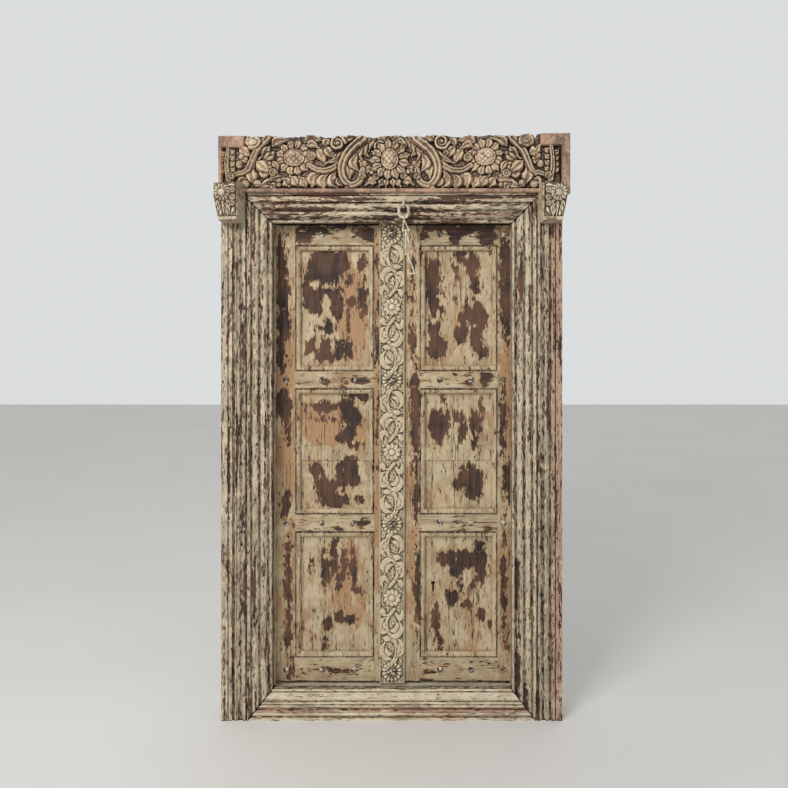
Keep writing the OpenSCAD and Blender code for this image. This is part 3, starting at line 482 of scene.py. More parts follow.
WARM = {
    "right_hanging_stile": [(508, 365, 8, 24), (508, 420, 6, 40), (509, 580, 5, 60)],
    "left_hanging_stile": [(288, 455, 12, 40), (290, 350, 8, 40), (285, 380, 10, 12)],
    "right_meeting_stile": [(410, 490, 5, 40), (411, 560, 5, 40)],
    "left_meeting_stile": [(377, 440, 6, 200)],
    "left_top_panel": [(352, 310, 16, 50)],
    "left_bottom_panel": [(352, 590, 16, 50)],
    "left_upper_rail": [(345, 382, 20, 10)],
    "left_middle_panel": [(330, 425, 40, 24)],
}


def leaf_wear(node):
    """Paint loss, over 0 in the bare patches but not in the kept ones, and warmth of a leaf's piece."""
    def loss(verts):
        bare = deepest(verts, BARE.get(node, ()), SOUND_PAINT)
        depth = np.minimum(bare, -deepest(verts, KEPT.get(node, ()), -np.inf))
        return np.where(verts[:, 1] > LEAF_MIDDLE_Y, HIDDEN_PAINT, np.minimum(depth, DEEPEST_LOSS))

    def warm(verts):
        depth = deepest(verts, WARM.get(node, ()), WARMTH_FADE * COOL)
        share = np.clip(depth / WARMTH_FADE, COOL, WARMEST)
        return np.where(verts[:, 1] > LEAF_MIDDLE_Y, HIDDEN_WARMTH, share)
    return {"loss": loss, "warm": warm}


# Painted shadow on the leaves' edges: how far in from the head and sill it reaches, and its fade
EDGE_SHADOW_H = 8 * MM
EDGE_SHADOW_FADE = 5 * MM


def painted_edge_shadow(verts):
    """Painted shadow along the leaves' top and bottom edges, under the head and over the sill."""
    under_head = verts[:, 2] - HEAD_Z
    over_sill = LEAF_Z - verts[:, 2]
    return np.clip((np.maximum(under_head, over_sill) + EDGE_SHADOW_H) / EDGE_SHADOW_FADE, 0, 1)


def leaf_edges(side):
    """Across a leaf: its pivots' axis, and the edges of its hanging and meeting stile towards the panels."""
    hang_low, hang_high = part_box(f"{side}_hanging_stile")
    meet_low, meet_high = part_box(f"{side}_meeting_stile")
    if side == "left":
        return hang_low[0] + HEEL_R, hang_high[0], meet_low[0]
    return hang_high[0] - HEEL_R, hang_low[0], meet_high[0]


def rail_middles(side):
    """Heights of the middles of a leaf's rails, from the bottom up."""
    boxes = [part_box(f"{side}_{place}_rail") for place in reversed(RAILS)]
    return [(low[2] + high[2]) / 2 for low, high in boxes]


# How far each meeting stile reaches into the seam, so that no light shows through
SEAM_REACH = 0.9 * MM


def build_leaf(side, body):
    """Stiles, rails, panels and beads of one leaf."""
    arris = 2.2 * MM
    gap = 5 * MM
    step = 6 * MM
    hang_low, hang_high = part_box(f"{side}_hanging_stile")
    meet_low, meet_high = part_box(f"{side}_meeting_stile")
    heel_x, inner_x, meet_x = leaf_edges(side)
    out = SIGN[side]
    chip = 1.6 * MM
    ragged = 2.2 * MM

    turn = np.radians(np.linspace(90, -90, 17))
    round_end = np.stack([heel_x + out * HEEL_R * np.cos(turn), LEAF_MIDDLE_Y - HEEL_R * np.sin(turn)],
                         axis=-1)
    flat_end = np.array([[inner_x, LEAF_BACK], [inner_x, LEAF_Y]])
    stile = Piece()
    section = finer(np.concatenate([round_end, flat_end]), gap)
    chipped = LEAF_Z + chip * (1 + ripple(section[:, 0] / MM, 0, wavelength=30, seed=3))
    verts, faces = sweep(section, chipped, LEAF_TOP, step, "Z")
    stile.add(verts, faces, painted_edge_shadow(verts))
    around = np.radians(np.arange(0, 360, 15))
    pivot_r = 14 * MM
    rooted = 5 * MM
    pivot = np.stack([heel_x + pivot_r * np.cos(around), LEAF_MIDDLE_Y + pivot_r * np.sin(around)], axis=-1)
    stile.add(*sweep(pivot, hang_low[2], LEAF_Z + rooted, step, "Z"))
    stile.add(*sweep(pivot, LEAF_TOP - rooted, hang_high[2], step, "Z"))
    node = f"{side}_hanging_stile"
    stile.build(f"{node}_worn", node, body, "leaf_paint", STILE_PAINT, **leaf_wear(node))

    node = f"{side}_meeting_stile"
    stile = Piece()
    free_low = meet_low[0] - (SEAM_REACH if out > 0 else 0)
    free_high = meet_high[0] + (SEAM_REACH if out < 0 else 0)
    section = worn_rectangle((free_low, LEAF_Y), (free_high, LEAF_BACK), arris / 2, gap)
    chipped = LEAF_Z + chip * (1 + ripple(section[:, 0] / MM, 0, wavelength=30, seed=4))
    verts, faces = sweep(section, chipped, LEAF_TOP, step, "Z")
    stile.add(verts, faces, painted_edge_shadow(verts))
    stile.build(f"{node}_worn", node, body, "leaf_paint", STILE_PAINT, **leaf_wear(node))

    edges = sorted([inner_x, meet_x])
    for place in RAILS:
        node = f"{side}_{place}_rail"
        low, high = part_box(node)
        rail = Piece()
        section = worn_rectangle((LEAF_Y, low[2]), (LEAF_BACK, high[2]), arris, gap)
        verts, faces = sweep(section, edges[0], edges[1], step, "X")
        if place == "bottom":
            lowest = verts[:, 2] < LEAF_Z + 3 * MM
            uneven = ripple(verts[lowest, 0] / MM, 0, wavelength=45, seed=5)
            verts[lowest, 2] += ragged * np.clip(0.6 + uneven, 0, 2)
        rail.add(verts, faces, painted_edge_shadow(verts))
        rail.build(f"{node}_worn", node, body, "leaf_paint", RAIL_PAINT, **leaf_wear(node))

    for place in PANELS:
        build_panel(side, place, body)


def bead_section(width, panel_y, proud_y):
    """Section of a panel's bead as distance from the bay's edge and depth, with its quirk at the edge."""
    depth = panel_y - proud_y
    lip = LEAF_Y - proud_y
    r = width / 2
    turn = np.radians(np.linspace(0, 90, 7))
    arc = [(width - r + r * math.sin(a), depth - r + r * math.cos(a)) for a in turn]
    quirk = [(0.0, depth - lip), (width * 0.14, depth - lip - 1.5 * MM), (width * 0.25, depth - lip),
             (width * 0.25, depth - 0.4 * lip), (width * 0.32, depth)]
    return np.array([(0.0, 0.0)] + quirk + arc + [(width, 0.0)])


# Keyhole: its place in metres, its radius and slot in millimetres
KEYHOLE_NODE = "right_bottom_panel"
KEYHOLE_PLACE = (0.143, 0.447)
KEYHOLE_R = 6.5
SLOT_HALF_W = 3
SLOT_H = 30
BEAD_W = 20 * MM
# Share of a bead's width that its quirk takes, and the painted shade there and at its foot on the panel
QUIRK_SHARE, QUIRK_SHADE, FOOT_SHADE = 0.26, 0.72, 0.85
BEAD_LOSS, BEAD_WARMTH = -11.0, -0.25
# Lapped board of the middle panels: its lift over the lower bead, and its height
LAP_LIFT = 172 * MM
LAP_H = 56 * MM


def keyhole(verts):
    """Which points lie in the keyhole: a round hole with a slot below."""
    across = np.abs(verts[:, 0] - KEYHOLE_PLACE[0]) / MM
    up = (verts[:, 2] - KEYHOLE_PLACE[1]) / MM
    return (np.hypot(across, up) < KEYHOLE_R) | ((across < SLOT_HALF_W) & (up < 0) & (up > -SLOT_H))


def build_panel(side, place, body):
    """One panel with its lapped board or keyhole, and the four beads around it."""
    node = f"{side}_{place}_panel"
    low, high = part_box(node)
    bay_low, bay_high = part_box(f"{side}_{place}_beads")
    panel_y = bay_high[1]
    panel = Piece()
    step = 2 * MM if node == KEYHOLE_NODE else 5 * MM
    section = worn_rectangle((low[0], panel_y), (high[0], high[1]), 1 * MM, step)
    verts, faces = sweep(section, low[2], high[2], step, "Z")
    front = verts[:, 1] < panel_y + MM / 2
    sunk = ripple(verts[front, 0] / MM, verts[front, 2] / MM * 0.2, wavelength=60, seed=7)
    verts[front, 1] += 0.5 * MM * (sunk + 1)
    hole = front & keyhole(verts) if node == KEYHOLE_NODE else np.zeros(len(verts), bool)
    verts[hole, 1] = high[1] - MM
    # The keyhole's floor is painted dark with full painted shade
    panel.add(verts, faces, hole.astype(float))
    if place == "middle":
        lap_z = bay_low[2] + BEAD_W + LAP_LIFT
        lap = worn_rectangle((low[1], lap_z), (panel_y + MM, lap_z + LAP_H), 0.8 * MM, 4 * MM)
        panel.add(*sweep(lap, bay_low[0] + BEAD_W, bay_high[0] - BEAD_W, 6 * MM, "X"))
    panel.build(f"{node}_worn", node, body, "leaf_paint", PANEL_PAINT, **leaf_wear(node))

    node = f"{side}_{place}_beads"
    beads = Piece()
    profile = bead_section(BEAD_W, panel_y, bay_low[1])
    reach = profile[:, 0]
    depth_y = panel_y - profile[:, 1]
    # Painted shade in the bead's quirk and at its foot, where the panel meets it
    painted_shade = np.where(reach < BEAD_W * QUIRK_SHARE, QUIRK_SHADE, 0.0)
    painted_shade[-1] = FOOT_SHADE
    for corner, inward in ((bay_low, reach), (bay_high, -reach)):
        level = np.stack([depth_y, corner[2] + inward], axis=-1)
        upright = np.stack([corner[0] + inward, depth_y], axis=-1)
        for section, axis, run in ((level, "X", 0), (upright, "Z", 2)):
            verts, faces = sweep(section, bay_low[run] + reach, bay_high[run] - reach, 6 * MM, axis)
            beads.add(verts, faces, np.resize(painted_shade, len(verts)))
    beads.build(f"{node}_worn", node, body, "leaf_paint", STILE_PAINT, loss=BEAD_LOSS, warm=BEAD_WARMTH)


for side in SIGN:
    build_leaf(side, f"{side}_leaf")

# Members of the mouldings as (kind, width in millimetres), from the outer edge towards the doorway
FLAT, REED, HOLLOW, QUIRK = range(4)
JAMB_OUTER = [(FLAT, 22), (QUIRK, 4), (FLAT, 12), (QUIRK, 8), (REED, 8), (HOLLOW, 24), (FLAT, 6), (QUIRK, 7)]
HEAD_OUTER = [(FLAT, 7), (QUIRK, 4), (FLAT, 9)]
MITRED = [(FLAT, 10), (QUIRK, 6), (REED, 21), (QUIRK, 7), (REED, 22), (QUIRK, 8), (REED, 10)]
SILL_FACE = [(FLAT, 8), (QUIRK, 6), (REED, 14), (HOLLOW, 14), (REED, 7), (QUIRK, 3), (REED, 8), (QUIRK, 5),
             (REED, 5), (FLAT, 22), (QUIRK, 3), (REED, 7)]
MITRE_W = 84 * MM
REED_D = 6 * MM
FALL = 12 * MM
BEAM_Y = BACK_Y - 80 * MM
REBATE_Y = LEAF_Y - 0.5 * MM
REBATE_HALF = OPEN_HALF + 21 * MM
BEAM_Z = HEAD_Z + 11 * MM
SILL_BACK = LEAF_Z - 8 * MM
TREAD_H = 12 * MM
MOULD_GAP = 1.6 * MM
MOULD_STEP = 8 * MM
BOARD_STEP = 12 * MM
BOARD_ARRIS = 2 * MM


def moulding(members):
    """Points of a moulded face as (distance along it, depth behind its crests)."""
    points = []
    start = 0.0
    for kind, width in members:
        width *= MM
        turn = np.linspace(0, math.pi, max(5, int(width / MOULD_GAP)))
        if kind == REED:
            points += [(start + width / 2 * (1 - math.cos(a)), REED_D * (1 - math.sin(a))) for a in turn]
        elif kind == HOLLOW:
            points += [(start + width / 2 * (1 - math.cos(a)), REED_D * math.sin(a)) for a in turn]
        else:
            depth = REED_D if kind == QUIRK else 0.0
            parts = max(2, int(width / MOULD_GAP))
            points += [(start + width * i / parts, depth) for i in range(parts + 1)]
        start += width
    return np.array(points)


def weather(verts, depth, seed, along, across):
    """Pushes a moulded face's front back by its worn grain. depth is 0 on the crests."""
    grain = ripple(verts[:, across] / MM, verts[:, along] / MM * 0.015, wavelength=5, seed=seed)
    dents = ripple(verts[:, across] / MM, verts[:, along] / MM, wavelength=70, seed=seed + 1)
    wear = 0.45 * np.abs(grain) + 0.5 * np.clip(dents, 0, 2)
    verts[:, 1] += np.where(depth < 1.0, wear * MM, 0)


def face_rod(piece, members, fall, place, reverse, ends, axis, seed):
    """Adds a moulded rod. Its face lies at place minus or plus the distance along it."""
    face = moulding(members)
    distance = face[:, 0]
    depth = face[:, 1] + fall * distance / distance[-1]
    cross = place - distance if reverse else place + distance
    y = FRONT_Y + depth
    pair = np.stack([cross, y], axis=-1) if axis == "Z" else np.stack([y, cross], axis=-1)
    corners = [(cross[-1], BEAM_Y), (cross[0], BEAM_Y)]
    tail = np.array(corners if axis == "Z" else [(b, a) for a, b in corners])
    section = np.concatenate([pair, tail])
    start, end = ends(np.concatenate([cross, [cross[-1], cross[0]]]))
    verts, faces = sweep(section, start, end, MOULD_STEP, axis)
    hidden = np.array([2.0, 2.0])
    sunk = np.resize(np.concatenate([face[:, 1] / REED_D, hidden]), len(verts))
    weather(verts, sunk, seed, *((2, 0) if axis == "Z" else (0, 2)))
    # Painted shade in the quirks and hollows, deepest in the quirks, and full painted shade on the rod's
    # hidden ends
    recess = np.clip(sunk, 0, 1) ** 2 * 0.72
    recess[:len(section)] = 1.0
    recess[-len(section):] = 1.0
    piece.add(verts, faces, recess)


def board(piece, low, high, axis):
    """Adds a plain timber with worn edges."""
    run = "XYZ".index(axis)
    across = [i for i in range(3) if i != run]
    section = worn_rectangle([low[i] for i in across], [high[i] for i in across], BOARD_ARRIS, BOARD_STEP)
    piece.add(*sweep(section, low[run], high[run], BOARD_STEP, axis))


# Paint loss on the frame's members, where less keeps more paint, and how far the streaks change it
JAMB_LOSS, HEAD_LOSS, SILL_LOSS = -9.0, -3.0, -33.0
STREAK_LOSS = 7.0


def frame_loss(seed, along, across, level):
    """Paint loss on a frame member, in streaks along its grain."""
    def loss(verts):
        around = (verts[:, across] + verts[:, 1]) / MM
        streak = ripple(around, verts[:, along] / MM * 0.06, wavelength=22, seed=seed)
        return level + STREAK_LOSS * streak
    return loss


# Outer band of the jambs: where it begins and how soon it is full, in metres from the middle, and its warmth.
# The right one shows its undercoat
OUTER_BAND = 0.545
BAND_FADE = 0.02
BAND_WARMTH = {"left": -0.15, "right": 0.75}


def build_jamb(side):
    """Jamb with its mitred mouldings, outer bands and rebate."""
    sign = SIGN[side]
    node = f"jamb_{side}"
    jamb = Piece()

    def full(_):
        return 0.0, FRAME_TOP

    def mitred(cross):
        inward = np.clip(np.abs(cross) - OPEN_HALF, 0, MITRE_W)
        return SILL_TOP * (1 - inward / MITRE_W), HEAD_Z + inward

    face_rod(jamb, JAMB_OUTER, 0.0, sign * OUTER_HALF, sign > 0, full, "Z", seed=11)
    face_rod(jamb, MITRED, FALL, sign * (OPEN_HALF + MITRE_W), sign > 0, mitred, "Z", seed=13)
    wide = sorted([sign * REBATE_HALF, sign * OUTER_HALF])
    board(jamb, (wide[0], BEAM_Y - MM, SILL_BACK), (wide[1], BACK_Y, BEAM_Z), "Z")
    stop = sorted([sign * OPEN_HALF, sign * (REBATE_HALF + MM)])
    board(jamb, (stop[0], BEAM_Y - MM, SILL_BACK), (stop[1], REBATE_Y, BEAM_Z), "Z")

    def warm(verts):
        band = np.clip((np.abs(verts[:, 0]) - OUTER_BAND) / BAND_FADE, 0, 1)
        return BAND_WARMTH[side] * band
    jamb.build(f"{node}_worn", node, "frame", "frame_paint", JAMB_PAINT,
               loss=frame_loss(seed=17, along=2, across=0, level=JAMB_LOSS), warm=warm)


def build_head():
    """Head: mitred mouldings before a full-width beam."""
    head = Piece()
    full_half = OPEN_HALF + MITRE_W

    def full(_):
        return -full_half, full_half

    def mitred(cross):
        reach = OPEN_HALF + np.clip(cross - HEAD_Z, 0, MITRE_W)
        return -reach, reach

    face_rod(head, HEAD_OUTER, 0.0, FRAME_TOP, True, full, "X", seed=21)
    face_rod(head, MITRED, FALL, HEAD_Z + MITRE_W, True, mitred, "X", seed=23)
    board(head, (-OUTER_HALF, BEAM_Y, BEAM_Z), (OUTER_HALF, BACK_Y, FRAME_TOP), "X")
    head.build("head_worn", "head", "frame", "frame_paint", HEAD_PAINT,
               loss=frame_loss(seed=27, along=0, across=2, level=HEAD_LOSS), warm=0.0)


# On the sill's face in millimetres: the height and half width of its pink band, and the top of its worn part
PINK_Z, PINK_HALF, WORN_Z = 35, 8, 58
PINK_WARMTH, WORN_WARMTH, SILL_WARMTH = 0.7, 0.25, -0.3


def build_sill():
    """Sill: mitred mouldings, a sloped tread and a full-width beam."""
    sill = Piece()
    rise = SILL_TOP / MITRE_W

    def mitred(cross):
        reach = OPEN_HALF + MITRE_W - np.clip(cross, 0, SILL_TOP) / rise
        return -reach, reach

    face_rod(sill, SILL_FACE, FALL, 0.0, False, mitred, "X", seed=31)
    top_y = FRONT_Y + FALL + REED_D
    tread = [(top_y, SILL_TOP), (REBATE_Y, SILL_BACK), (REBATE_Y, SILL_BACK - TREAD_H),
             (top_y, SILL_TOP - TREAD_H)]
    sill.add(*sweep(finer(tread, 6 * MM), -OPEN_HALF, OPEN_HALF, MOULD_STEP, "X"))
    board(sill, (-OUTER_HALF, BEAM_Y, 0.0), (OUTER_HALF, BACK_Y, SILL_BACK), "X")

    def warm(verts):
        height = verts[:, 2] / MM
        pink = np.abs(height - PINK_Z) < PINK_HALF
        return np.select([pink, height < WORN_Z], [PINK_WARMTH, WORN_WARMTH], SILL_WARMTH)
    sill.build("sill_worn", "sill", "frame", "frame_paint", SILL_PAINT,
               loss=frame_loss(seed=37, along=0, across=2, level=SILL_LOSS), warm=warm)


for side in SIGN:
    build_jamb(side)
build_head()
build_sill()

# Kinds of carved strokes, by where they swell along their path; a stem only tapers
STEM, LEAF, LOBE, PETAL = 0.0, 0.8, 1.7, 1.35
PATH_SAMPLES = 110


def blurred(field, cells):
    """Mean of each cell's neighbourhood, by running sums along both directions."""
    kernel = np.ones(2 * cells + 1) / (2 * cells + 1)
    for axis in (0, 1):
        pad = [(cells, cells) if axis == i else (0, 0) for i in (0, 1)]
        spread = np.pad(field, pad, mode="edge")
        field = np.apply_along_axis(np.convolve, axis, spread, kernel, mode="valid")
    return field


class Relief:
    """Height map of a carving, in millimetres over its ground."""

    def __init__(self, low, high, step, cut_w, plain_crest=0.4):
        self.step = step
        self.us = np.linspace(low[0], high[0], int((high[0] - low[0]) / step) + 1)
        self.vs = np.linspace(low[1], high[1], int((high[1] - low[1]) / step) + 1)
        self.u, self.v = np.meshgrid(self.us, self.vs)
        self.height = np.zeros(self.u.shape)
        self.cut_w = cut_w
        self.plain = np.zeros(self.u.shape, bool)
        self.plain_crest = plain_crest

    def window(self, points, room):
        """Slices of the cells round some points."""
        low = points.min(axis=0) - room
        high = points.max(axis=0) + room
        rows = slice(*np.searchsorted(self.vs, (low[1], high[1])))
        cols = slice(*np.searchsorted(self.us, (low[0], high[0])))
        return rows, cols

    def lay(self, window, away, height):
        """Puts a form over what is there, with a cut round it. away is the distance outside its edge."""
        held = self.height[window]
        held[(away >= 0) & (away < self.cut_w)] *= 0.4
        held[away < 0] = height[away < 0]

    def stroke(self, points, width, top, swell=LEAF, flutes=2, cut=0.5):
        """A carved ridge along a smooth path, with flutes along it."""
        path = smooth_path(np.asarray(points, float), PATH_SAMPLES)
        window = self.window(path, width)
        u = self.u[window][..., None] - path[:, 0]
        v = self.v[window][..., None] - path[:, 1]
        away = u * u + v * v
        near = away.argmin(axis=-1)
        t = near / (len(path) - 1)
        heading = np.gradient(path, axis=0)
        heading /= np.linalg.norm(heading, axis=1)[:, None]
        pick = np.take_along_axis
        du = pick(u, near[..., None], -1)[..., 0]
        dv = pick(v, near[..., None], -1)[..., 0]
        side = np.sign(du * -heading[near, 1] + dv * heading[near, 0])
        half = width / 2 * (1 - 0.35 * t if swell == STEM else np.maximum(0.2, np.sin(math.pi * t ** swell)))
        q = side * np.sqrt(away.min(axis=-1)) / half
        dome = np.sqrt(np.clip(1 - q ** 4, 0, 1))
        groove = 0.5 + 0.5 * np.cos(math.pi * (2 * flutes * (q + 1) / 2))
        height = top * (0.62 + 0.38 * half / (width / 2)) * dome * (1 - cut * groove)
        self.lay(window, (np.abs(q) - 1) * half, height)

    def dome(self, at, radius, top, aspect=1.0):
        """A round or oval bud with a hollow ring in it."""
        window = self.window(np.array([at], float), radius * 1.2)
        r = np.hypot(self.u[window] - at[0], (self.v[window] - at[1]) / aspect) / radius
        ring = 1 - 0.3 * np.exp(-((r - 0.55) / 0.13) ** 2)
        self.lay(window, (r - 1) * radius, top * np.clip(1 - r ** 4, 0, 1) ** 0.5 * ring)

    def curl(self, at, radius, top, turns=2.0, hand=1):
        """A volute: a ridge that winds in to its eye."""
        t = np.linspace(0, 1, 12)
        angle = hand * 2 * math.pi * turns * t
        r = radius * (1 - 0.85 * t)
        path = np.stack([at[0] + r * np.cos(angle), at[1] + r * np.sin(angle)], axis=-1)
        self.stroke(path, radius * 0.42, top, STEM, flutes=1, cut=0.1)
        self.dome(at, radius * 0.28, top * 1.05)

    def ring(self, at, inner, reach, petals, **form):
        """Strokes round a point, from the inner radius to the outer."""
        for i in range(petals):
            turn = 2 * math.pi * (i + 0.5) / petals
            ray = np.array([math.cos(turn), math.sin(turn)])
            path = [np.array(at) + ray * (inner + (reach - inner) * s) for s in (0, 0.5, 1)]
            self.stroke(path, **form)

    def flower(self, at, heart, reach, petals, top):
        """A ring of petals round a domed heart with cross cuts."""
        inner = 0.8 * (heart[0] + heart[1]) / 2
        width = 2 * math.pi * reach / petals * 0.98
        self.ring(at, inner, reach, petals, width=width, top=top * 0.86, swell=PETAL, cut=0.4)
        window = self.window(np.array([at], float), max(heart) * 1.3)
        u = (self.u[window] - at[0]) / heart[0]
        v = (self.v[window] - at[1]) / heart[1]
        r = np.hypot(u, v)
        body = top * np.clip(1 - 0.35 * r * r, 0, 1)
        nicks = np.minimum(np.abs(np.sin(5.2 * (u + v))), np.abs(np.sin(5.2 * (u - v))))
        body *= 1 - 0.22 * np.exp(-(nicks / 0.28) ** 2) * (r < 0.78)
        body *= 1 - 0.3 * np.exp(-((r - 0.84) / 0.07) ** 2)
        self.lay(window, (r - 1) * min(heart), body)

    def block(self, low, high, top, round_r=3.0):
        """A plain raised block with eased edges."""
        inside = np.minimum.reduce([self.u - low[0], high[0] - self.u, self.v - low[1], high[1] - self.v])
        self.plain |= inside >= 0
        eased = np.clip(inside / round_r + 0.3, 0, 1) ** 0.5
        self.height = np.maximum(self.height, top * eased * (inside >= 0))

    def worn(self, roughness, seed):
        """Softens the carving and adds the unevenness of hand work and age."""
        self.height = 0.6 * self.height + 0.4 * blurred(self.height, 1)
        self.height += roughness * ripple(self.u, self.v, wavelength=9, seed=seed)
        broad = ripple(self.u, self.v, wavelength=40, seed=seed + 1)
        self.height += roughness * 1.5 * broad * (self.height > 2)
        self.height = np.maximum(self.height, -1.5)

    def wear(self, relief):
        """Recess and crest values of the cells, which set painted shade in the recesses and painted highlight
        on the crests.
        """
        broad = (blurred(self.height, max(2, round(7 / self.step))) - self.height) / (0.42 * relief)
        narrow = (blurred(self.height, max(1, round(2.5 / self.step))) - self.height) / (0.16 * relief)
        low = np.clip(1 - self.height / (0.45 * relief), 0, 1)
        recess = np.clip(0.45 * broad + 0.4 * narrow + 0.75 * low, 0, 1)
        crest = np.clip(-0.6 * broad - 0.5 * narrow + (self.height / relief) ** 2 * 0.4, 0, 1)
        return recess, np.where(self.plain, self.plain_crest, crest)


def smooth_path(points, samples):
    """Catmull-Rom curve through some points; two points make a straight line."""
    if len(points) == 2:
        points = np.array([points[0], points.mean(axis=0), points[1]])
    ends = [2 * points[0] - points[1], 2 * points[-1] - points[-2]]
    p = np.concatenate([[ends[0]], points, [ends[1]]])
    place = np.linspace(0, len(points) - 1, samples)
    i = np.minimum(place.astype(int), len(points) - 2)
    t = (place - i)[:, None]
    a, b, c, d = p[i], p[i + 1], p[i + 2], p[i + 3]
    square = 2 * a - 5 * b + 4 * c - d
    cube = 3 * b - a - 3 * c + d
    return 0.5 * (2 * b + (c - a) * t + square * t ** 2 + cube * t ** 3)


# Recess and crest of a carved piece's back, which set its painted shade and painted highlight
BACK_SHADE_AND_HIGHLIGHT = (0.2, -0.4)


def carved_piece(relief, front, back, depth):
    """Closed mesh of a relief, and its crest values for painted highlight. front and back are the x, y and z
    of its cells.
    """
    rows, cols = relief.height.shape
    grid = np.arange(rows * cols).reshape(rows, cols)
    quads = np.stack([grid[:-1, :-1], grid[:-1, 1:], grid[1:, 1:], grid[1:, :-1]], axis=-1).reshape(-1, 4)
    ring = np.concatenate([grid[0, :-1], grid[:-1, -1], grid[-1, :0:-1], grid[:0:-1, 0]])
    behind = rows * cols + np.arange(len(ring))
    sides = np.stack([ring, np.roll(ring, -1), np.roll(behind, -1), behind], axis=-1)
    face, rear = (np.stack(np.broadcast_arrays(*xyz), axis=-1).reshape(-1, 3) for xyz in (front, back))
    recess, crest = (np.append(field, np.full(len(ring), rest))
                     for field, rest in zip(relief.wear(depth), BACK_SHADE_AND_HIGHLIGHT))
    piece = Piece()
    piece.add(np.concatenate([face, rear[ring]]), quads.tolist() + sides.tolist() + [behind.tolist()], recess)
    return piece, crest


# Carving of one half of the header in millimetres from the middle flower's axis and the lower edge:
# path, width and kind
HALF_STROKES = [
    ([(-426, 196), (-464, 153), (-483, 115), (-502, 78), (-545, 63)], 18, STEM),
    ([(-564, 46), (-571, 98), (-566, 158)], 13, STEM),
    ([(-525, 160), (-505, 142), (-488, 135)], 22, LEAF),
    ([(-466, 132), (-452, 152), (-447, 170)], 17, LOBE),
    ([(-460, 119), (-438, 140), (-422, 163)], 17, LOBE),
    ([(-456, 111), (-430, 122), (-407, 142)], 17, LOBE),
    ([(-447, 98), (-430, 96), (-405, 100)], 16, LOBE),
    ([(-477, 104), (-485, 70), (-478, 36)], 24, LOBE),
    ([(-455, 92), (-440, 66), (-422, 74)], 15, LEAF),
    ([(-466, 110), (-446, 94), (-420, 74)], 22, LEAF),
    ([(-456, 20), (-409, 41), (-369, 56)], 20, LEAF),
    ([(-376, 54), (-362, 44), (-352, 24)], 22, LOBE),
    ([(-350, 60), (-334, 48), (-322, 26)], 22, LOBE),
    ([(-318, 58), (-304, 44), (-294, 22)], 22, LOBE),
    ([(-424, 34), (-412, 28), (-402, 19)], 16, LOBE),
    ([(-78, 198), (-125, 160), (-159, 119), (-205, 87), (-248, 81), (-284, 98)], 19, STEM),
    ([(-93, 194), (-144, 147), (-168, 98), (-163, 54), (-137, 28), (-106, 43), (-95, 82)], 22, STEM),
    ([(-146, 118), (-140, 90), (-142, 54)], 24, LEAF),
    ([(-235, 77), (-264, 58), (-272, 24)], 26, LOBE),
    ([(-214, 75), (-234, 50), (-232, 18)], 24, LOBE),
    ([(-188, 83), (-200, 52), (-184, 20)], 26, LOBE),
    ([(-254, 155), (-240, 134), (-227, 107)], 19, LEAF),
    ([(-228, 164), (-214, 148), (-203, 126)], 18, LEAF),
    ([(-138, 157), (-180, 124), (-224, 108)], 15, LEAF),
    ([(-410, 166), (-392, 186), (-356, 190)], 18, LEAF),
    ([(-298, 178), (-274, 194), (-236, 186)], 18, LEAF),
    ([(-290, 166), (-270, 172), (-248, 160)], 15, LEAF),
    ([(-52, 193), (-72, 176), (-74, 150)], 15, LEAF),
    ([(-78, 176), (-93, 154), (-76, 133)], 17, LEAF),
    ([(-95, 158), (-114, 134), (-93, 112)], 19, LEAF),
    ([(-116, 136), (-129, 104), (-110, 78)], 19, LEAF),
    ([(-106, 112), (-94, 100), (-76, 100)], 20, LOBE),
    ([(-84, 30), (-66, 42), (-50, 38)], 20, LOBE),
    ([(-40, 22), (-30, 34), (-26, 50)], 14, LOBE),
    ([(-14, 20), (-12, 34), (-10, 50)], 12, LOBE),
    ([(-120, 196), (-146, 190), (-156, 176)], 14, LEAF),
    ([(-212, 192), (-224, 180), (-226, 168)], 16, LEAF),
    ([(-18, 204), (-26, 194), (-12, 186)], 18, LEAF),
    ([(-412, 112), (-398, 96), (-394, 76)], 12, LEAF),
    ([(-166, 26), (-180, 40), (-176, 58)], 12, LEAF),
    ([(-62, 92), (-76, 84), (-84, 70)], 12, LEAF),
    ([(-505, 52), (-520, 44), (-535, 26)], 14, LEAF),
    ([(-496, 108), (-510, 116), (-526, 112)], 11, LEAF),
    ([(-548, 40), (-560, 28), (-578, 24)], 12, LEAF),
    ([(-420, 52), (-400, 62), (-380, 60)], 10, LEAF),
]
# Fern on the outer stem: foot and tip of its lobes
FERN_LOBES = [((-568, 66 + 20 * i), (-592, 86 + 19 * i)) for i in range(4)]
FERN_LOBES += [((-568, 66 + 22 * i), (-545, 88 + 21 * i)) for i in range(4)]
# Volutes as (place, radius, hand) and buds as (place, radius, height share, aspect)
HALF_CURLS = [((-182, 177), 27, 1), ((-34, 168), 23, -1), ((-273, 128), 15, 1), ((-409, 71), 14, 1),
              ((-197, 138), 10, -1), ((-95, 60), 11, 1), ((-48, 60), 11, -1), ((-555, 60), 12, -1)]
HALF_BUDS = [((-478, 180), 30, 0.9, 0.8), ((-506, 32), 14, 0.75, 1), ((-464, 34), 13, 0.7, 1),
             ((-528, 100), 12, 0.6, 1), ((-520, 128), 10, 0.55, 1), ((-390, 30), 9, 0.55, 1),
             ((-296, 140), 9, 0.5, 1), ((-150, 18), 9, 0.55, 1), ((-64, 76), 8, 0.55, 1),
             ((-410, 140), 8, 0.5, 1)]
HEADER_AXIS = -7
HEADER_RELIEF = 26.0
HEADER_PROUD = 14.0
HEADER_TALL = 200.0
